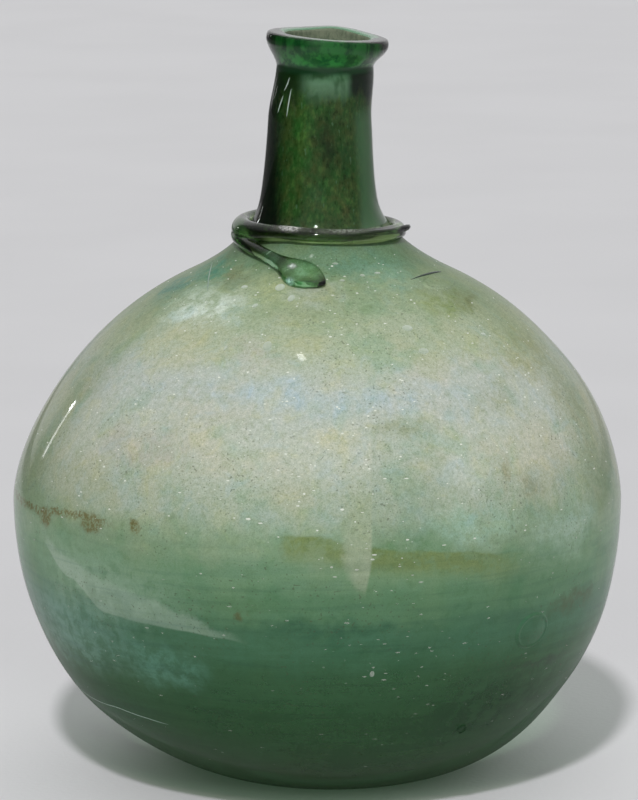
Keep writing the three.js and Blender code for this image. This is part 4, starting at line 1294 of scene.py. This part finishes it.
def makeNeckCrust():
    lining = innerWall[innerWall[:, 1] > crownHeight + neckCrust["rise"]]
    seat = offsetProfile(lining, neckCrust["gap"])
    face = offsetProfile(lining, neckCrust["gap"] + neckCrust["thickness"])[::-1]
    profile = np.concatenate([seat, face, seat[:1]])
    values = {"Turns": neckCrust["turns"], **oneFinish(neckCrustMaterial())}
    crust = turnedPiece("neckCrust", profile, np.zeros(len(profile)), values)
    return ridesRoot(facesOutward(crust), "neck_crust", "neck_deposit")


makeNeckCrust()
print("neck crust made")

# Small grains set on the glass: seeds in its skin, and the crumbs of the tide-line crust


def grainTree():
    tree, given = startTree("scattered grains", Facets=("Int", 1), Chipped=("Float", 0.0), Finish=("Material", None))
    grain = given.outputs
    away, along, halfSize = (stored(tree, key, "FLOAT_VECTOR") for key in ("away", "along", "halfSize"))
    points = addNode(tree, "GeometryNodeMeshToPoints", {0: grain["Geometry"]})
    bead = addNode(tree, "GeometryNodeMeshIcoSphere", {"Radius": 1.0, "Subdivisions": grain["Facets"]})
    axes = {"Primary Axis": away, "Secondary Axis": along}
    turn = addNode(tree, "FunctionNodeAxesToRotation", axes, primary_axis="Z", secondary_axis="X")
    placed = addNode(tree, "GeometryNodeInstanceOnPoints", {"Points": points, "Instance": bead, "Rotation": turn, "Scale": halfSize})
    real = addNode(tree, "GeometryNodeRealizeInstances", {"Geometry": placed})
    place = vectorCalc(tree, "SCALE", placeOf(tree), 1 / mm)
    chips = addNode(tree, "ShaderNodeTexNoise", {"Vector": place, "Scale": 2.2, "Detail": 2.0}).outputs[1]
    shift = vectorCalc(tree, "SCALE", vectorCalc(tree, "SUBTRACT", chips, (0.5, 0.5, 0.5)), grain["Chipped"])
    return endTree(tree, addNode(tree, "GeometryNodeSetPosition", {"Geometry": real, "Offset": shift}), grain["Finish"])


scatteredGrains = grainTree()


def scatter(name, grains, facets, chipped, finish):
    places, away, along, sizes = (np.array(column, float) for column in zip(*grains))
    source = wireMesh(name + "Places", places, [], {"away": away, "along": along, "halfSize": sizes * mm})
    return meshFromNodes(name, source, scatteredGrains, {"Facets": facets, "Chipped": chipped * mm, "Finish": finish})


def onGlass(search, place, lift):  # the nearest spot of the glass, its outward direction and a level direction along it
    spot, away, _, _ = search.find_nearest(Vector(place) * mm)
    along = Vector((0, 0, 1)).cross(away)
    along = along.normalized() if along.length > 1e-4 else Vector((1, 0, 0))
    return spot + away * (lift * mm), away, along


glassSeeds = {
    "seed": 7,
    "count": 1250,
    "lowest": 12.0,
    "highest": 142.0,
    "halfLength": (0.12, 0.42),
    "narrow": (0.45, 0.8),
    "depth": 0.05,
    "colour": (0.84, 0.88, 0.78),
    "roughness": 0.25,
    "opacity": (62, 84, 0.22, 0.85),  # fainter in the dark lower glass: two heights, and the opacity there
    "shape": 2.2,  # the higher, the rarer the big ones
    "strays": 0.2,  # share of them away from the crowds
    "drawnBelow": 96,  # lower down they are drawn out sideways, by up to the first share, and above by the second
    "drawn": (1.2, 0.2),
    "clusters": ((5, -70, 104, 30), (0, -45, 128, 30), (12, -80, 82, 14),  # where they crowd: place and reach
                 (20, -76, 50, 18), (45, -52, 108, 26), (-45, -55, 104, 22)),
    "largeColour": (0.62, 0.70, 0.60),
    "largeRoughness": 0.15,
    "largeOpacity": (0.1, 0.8, 0.35, 0.85),  # seen in front and on edge
    "largeSink": 0.05,
    "largeDepth": 0.22,
    "large": ((-6.7, -36.7, 133.4, 0.9, 1.5), (23.1, -43.1, 126.4, 1.5, 1.1), (15.4, -60.7, 114.1, 1.0, 0.5),
              (27.6, -64.3, 104.7, 1.2, 1.4), (-12.7, -51.0, 123.6, 1.2, 1.6), (4.7, -24.9, 140.4, 0.8, 0.4),
              (6.5, -30.1, 136.8, 0.7, 0.5), (11.7, -27.1, 137.6, 0.7, 0.5), (15.6, -24.7, 137.7, 0.9, 0.5),
              (62.5, -42.2, 95.3, 0.6, 0.7), (-9.6, -31.7, 135.5, 1.3, 1.6), (27.1, -48.2, 121.3, 1.5, 1.0),
              (42.7, -32.5, 122.7, 0.9, 0.6), (-23.5, -48.3, 122.7, 0.5, 1.0), (-18.9, -28.0, 135.1, 1.0, 0.8),
              (13.9, -75.2, 43.5, 0.6, 0.9), (-16.0, -37.3, 131.7, 0.7, 0.9)),  # place on the glass, half width and half height
}


def seedMaterial():
    material, tree = newMaterial("pale seeds in the glass")
    shown = ranged(tree, parts(tree, millimetrePlace(tree))[2], *glassSeeds["opacity"])
    return finished(material, principled(tree, glassSeeds["colour"], glassSeeds["roughness"], {"Alpha": shown}))


def largeSeedMaterial():
    material, tree = newMaterial("large seeds in the glass")
    facing = addNode(tree, "ShaderNodeLayerWeight", {"Blend": 0.5}).outputs["Facing"]
    shown = ranged(tree, facing, *glassSeeds["largeOpacity"])
    return finished(material, principled(tree, glassSeeds["largeColour"], glassSeeds["largeRoughness"], {"Alpha": shown}))


def makeSeeds():
    chance = np.random.default_rng(glassSeeds["seed"])
    low, high = glassSeeds["lowest"], glassSeeds["highest"]
    grains = []
    while len(grains) < glassSeeds["count"]:
        height = chance.uniform(low, high)
        azimuth = chance.uniform(0, 2 * math.pi)
        radius = np.interp(height, bowl[:, 1], bowl[:, 0])
        place = Vector((radius * math.cos(azimuth), radius * math.sin(azimuth), height))
        crowd = max(math.exp(-((place - Vector(c[:3])).length / c[3]) ** 2) for c in glassSeeds["clusters"])
        if chance.uniform(0, 1) > glassSeeds["strays"] + (1 - glassSeeds["strays"]) * crowd:
            continue
        half = lerp(*glassSeeds["halfLength"], chance.uniform(0, 1) ** glassSeeds["shape"])
        drawnOut = 1.0 + glassSeeds["drawn"][height >= glassSeeds["drawnBelow"]] * chance.uniform(0, 1)
        size = (half * drawnOut, half * chance.uniform(*glassSeeds["narrow"]), glassSeeds["depth"])
        grains.append((*onGlass(glassSearch, place, 0.0), size))
    ridesRoot(scatter("glassSeeds", grains, 1, 0.0, seedMaterial()), "body_glass")
    large = []
    for x, y, z, wide, tall in glassSeeds["large"]:
        large.append((*onGlass(glassSearch, (x, y, z), -glassSeeds["largeSink"]), (wide, tall, glassSeeds["largeDepth"])))
    ridesRoot(scatter("largeSeeds", large, 3, 0.0, largeSeedMaterial()), "body_glass")


makeSeeds()
print("seeds made")

tideCrust = {
    "seed": 4,
    "count": 620,
    "fromAzimuth": -164.0,
    "toAzimuth": -121.0,
    "line": ((-164, 75.9), (-150, 77.0), (-138, 78.6), (-130, 79.2), (-121, 79.6)),  # azimuth and height of its upper edge
    "lineShare": 0.4,
    "lineDrop": 0.9,
    "clumps": ((-158.0, 2.0, 2.6), (-150.6, 2.0, 4.2), (-136.0, 3.4, 4.2), (-125.0, 1.3, 3.0)),  # where it hangs: azimuth, spread, drop
    "crowding": 1.3,  # the higher, the more crumbs at the upper edge
    "gap": 0.3,
    "halfSize": (0.25, 0.62),
    "widening": 1.2,
    "halfDepth": 0.2,
    "chipped": 0.12,
    "grain": {"noise": (1.3, 4, 0.6)},
    "grainLevels": (0.35, 0.65),
    "colours": ((0.20, 0.14, 0.05), (0.08, 0.05, 0.02)),
    "roughness": 0.9,
    "bump": (0.7, 0.3),
}


def crumbMaterial():
    material, tree = newMaterial("brown burial crust")
    grain = patternNoise(tree, millimetrePlace(tree), tideCrust["grain"])
    colour = mixColour(tree, ranged(tree, grain, *tideCrust["grainLevels"]), *tideCrust["colours"])
    return finished(material, principled(tree, colour, tideCrust["roughness"], bumped(tree, grain, *tideCrust["bump"])))


def makeTideCrust():
    chance = np.random.default_rng(tideCrust["seed"])
    inside = surfaceSearch(blownVessel, 1)
    edge = np.array(tideCrust["line"], float)
    grains = []
    for _ in range(tideCrust["count"]):
        azimuth, drop = chance.uniform(tideCrust["fromAzimuth"], tideCrust["toAzimuth"]), tideCrust["lineDrop"]
        if chance.uniform(0, 1) > tideCrust["lineShare"]:
            middle, spread, drop = tideCrust["clumps"][chance.integers(len(tideCrust["clumps"]))]
            azimuth = middle + spread * chance.uniform(-1, 1)
            drop *= math.sqrt(1 - ((azimuth - middle) / spread) ** 2)
        height = np.interp(azimuth, edge[:, 0], edge[:, 1]) - drop * chance.uniform(0, 1) ** tideCrust["crowding"]
        radius = np.interp(height, innerWall[:, 1], innerWall[:, 0])
        place = (radius * math.cos(math.radians(azimuth)), radius * math.sin(math.radians(azimuth)), height)
        half = chance.uniform(*tideCrust["halfSize"])
        size = (half * tideCrust["widening"], half, tideCrust["halfDepth"])
        grains.append((*onGlass(inside, place, tideCrust["gap"] + tideCrust["halfDepth"]), size))
    crumbs = scatter("tideCrust", grains, 2, tideCrust["chipped"], crumbMaterial())
    return ridesRoot(crumbs, "brown_crust", "tide_line_deposit")


makeTideCrust()
print("tide-line crust made")

# Marks raised on the glass: a blister, an open bubble, creases left by the maker's tools, and pale creases on the neck
# that are painted highlights

raisedMarks = {
    "ringPlace": 0.86,  # the raised ring of each, and its width, of the distance from the middle to the edge
    "ringWidth": 0.07,
    "sink": 0.06,
    "marks": {
        "Blister": {"at": (55.0, -56.1, 50.2), "halfWidth": 6.2, "halfHeight": 5.2, "rise": 0.7, "ring": 0.30},
        "OpenBubble": {"at": (37.2, -54.2, 23.7), "halfWidth": 1.5, "halfHeight": 1.7, "rise": 0.10, "ring": 0.35},
        "ShoulderLens": {"at": (32.0, -17.0, 134.2), "halfWidth": 8.0, "halfHeight": 3.2, "rise": 0.45, "ring": 0.15},
    },
}


def raisedMarkTree():
    tree, given = startTree("raised mark", Glass=("Object", None), Middle=("Vector", None), Across=("Vector", None),
                            Upward=("Vector", None), HalfWidth=("Float", 1.0), HalfHeight=("Float", 1.0), Rise=("Float", 0.0),
                            Ring=("Float", 0.0), RingPlace=("Float", 0.86), RingWidth=("Float", 0.07), Sink=("Float", 0.0),
                            Finish=("Material", None))
    mark = given.outputs
    grid, outward, angle = rolledGrid(tree, 22, 73)
    kept = keep(tree, grid, "outward", outward)
    place = mark["Middle"]
    for axis, half, way in (("Across", "HalfWidth", "COSINE"), ("Upward", "HalfHeight", "SINE")):
        reach = times(tree, outward, mark[half], calc(tree, way, angle))
        place = vectorCalc(tree, "ADD", place, vectorCalc(tree, "SCALE", mark[axis], reach))
    closed = addNode(tree, "GeometryNodeMergeByDistance", {"Geometry": moveTo(tree, kept, place), "Distance": 1e-6})
    glass = addNode(tree, "GeometryNodeObjectInfo", {"Object": mark["Glass"]}, transform_space="RELATIVE").outputs["Geometry"]
    nearest, normal = (addNode(tree, "GeometryNodeSampleNearestSurface", {"Mesh": glass, "Value": addNode(tree, kind)},
                               data_type="FLOAT_VECTOR").outputs[0] for kind in ("GeometryNodeInputPosition", "GeometryNodeInputNormal"))
    outward = stored(tree, "outward")
    dome = times(tree, minus(tree, 1.0, times(tree, outward, outward)), mark["Rise"])
    ridge = times(tree, hump(tree, outward, mark["RingPlace"], mark["RingWidth"]), mark["Ring"])
    edge = times(tree, calc(tree, "POWER", outward, 8.0), mark["Sink"])  # the edge goes a little way into the glass
    lift = minus(tree, plus(tree, dome, ridge), edge)
    seated = moveTo(tree, closed, vectorCalc(tree, "ADD", nearest, vectorCalc(tree, "SCALE", normal, lift)))
    return endTree(tree, addNode(tree, "GeometryNodeSetShadeSmooth", {"Geometry": seated}), mark["Finish"])


def makeMarks():
    tree = raisedMarkTree()
    shape = {"Glass": blownVessel, "Finish": bodyGlass, "RingPlace": raisedMarks["ringPlace"],
             "RingWidth": raisedMarks["ringWidth"], "Sink": raisedMarks["sink"] * mm}
    for name, mark in raisedMarks["marks"].items():
        spot, away, along = onGlass(glassSearch, mark["at"], 0.0)
        values = {**shape, "Middle": spot, "Across": along, "Upward": away.cross(along), "HalfWidth": mark["halfWidth"] * mm,
                  "HalfHeight": mark["halfHeight"] * mm, "Rise": mark["rise"] * mm, "Ring": mark["ring"] * mm}
        piece = meshFromNodes("mark" + name, wireMesh("markSource", [spot], [], {}), tree, values)
        if sum(polygon.normal.dot(away) for polygon in piece.data.polygons) < 0:
            piece.data.flip_normals()
        ridesRoot(piece, "body_glass")


makeMarks()
print("marks made")

creases = {
    "halfWidth": 0.22,
    "flatness": 0.7,
    "sink": 0.04,
    "sides": 8,
    "steps": 24,
    "roughness": 0.12,
    "taper": 0.05,  # how far from its very tip each crease ends, in radians of a half turn
    "darkWidening": (0.8, 2.6),  # the dark crease widens along its way
    "finishes": {  # name, colour and how opaque
        "glossy": ("glossy tool crease", (0.30, 0.42, 0.34), 0.75),
        "bright": ("painted highlight streak", (0.60, 0.70, 0.64), 0.6),
        "dark": ("dark tool crease", (0.008, 0.030, 0.016), 0.95),
    },
    "routes": {
        "LowLeft": ("glossy", (-64.0, -18.0, 25.6), (-62.0, -24.7, 25.6), (-52.4, -42.6, 25.8), (-43.8, -50.0, 24.9), (-38, -54, 24.2)),
        "LeftShoulder": ("glossy", (-28.0, -4.8, 138.2), (-28.6, -15.1, 135.9), (-28.7, -24.0, 133.4)),
        "RightShoulder": ("dark", (23.9, -23.0, 135.4), (28.2, -16.5, 135.9), (32.6, -8.7, 135.6)),
        # painted highlights: the three neck streaks are pale raised creases standing in for thin reflections of a
        # narrow light
        "NeckUpper": ("bright", (-8.1, -10.0, 187.4), (-8.7, -9.7, 185.6), (-9.5, -9.1, 183.8)),
        "NeckLower": ("bright", (-9.7, -9.1, 182.6), (-10.3, -8.6, 180.4), (-10.9, -8.1, 177.8)),
        "NeckInner": ("bright", (-7.4, -10.8, 184.6), (-7.9, -10.8, 181.0), (-8.3, -10.8, 177.0)),
    },
}


def creaseMaterial(name, colour, alpha):
    material, tree = newMaterial(name)
    return finished(material, principled(tree, colour, creases["roughness"], {"Alpha": alpha}))


def makeCreases():
    tree = sweepTree()
    finishes = {key: creaseMaterial(*finish) for key, finish in creases["finishes"].items()}
    neckSearch = surfaceSearch(blownVessel, 2)
    steps = creases["steps"]
    narrowing = np.sqrt(np.sin(np.linspace(creases["taper"], math.pi - creases["taper"], steps)))
    for name, (finish, *route) in creases["routes"].items():
        route = np.array(route, float)
        search = neckSearch if name.startswith("Neck") else glassSearch
        stops = [[np.interp(k, range(len(route)), route[:, axis]) for axis in range(3)] for k in np.linspace(0, len(route) - 1, steps)]
        middle, away, _ = (np.array(column) for column in zip(*(onGlass(search, stop, 0.0) for stop in stops)))
        half = creases["halfWidth"] * mm * narrowing
        if finish == "dark":
            half = half * np.linspace(*creases["darkWidening"], steps)
        attributes = {"away": away, "middle": middle, "acrossHalf": half, "highHalf": half * creases["flatness"]}
        source = wireMesh("creaseRoute", middle, [(i, i + 1) for i in range(steps - 1)], attributes)
        values = {"Sides": creases["sides"], "Sink": creases["sink"] * mm, "Glass": finishes[finish]}
        ridesRoot(facesOutward(meshFromNodes("crease" + name, source, tree, values)), "body_glass")


makeCreases()
print("creases made")
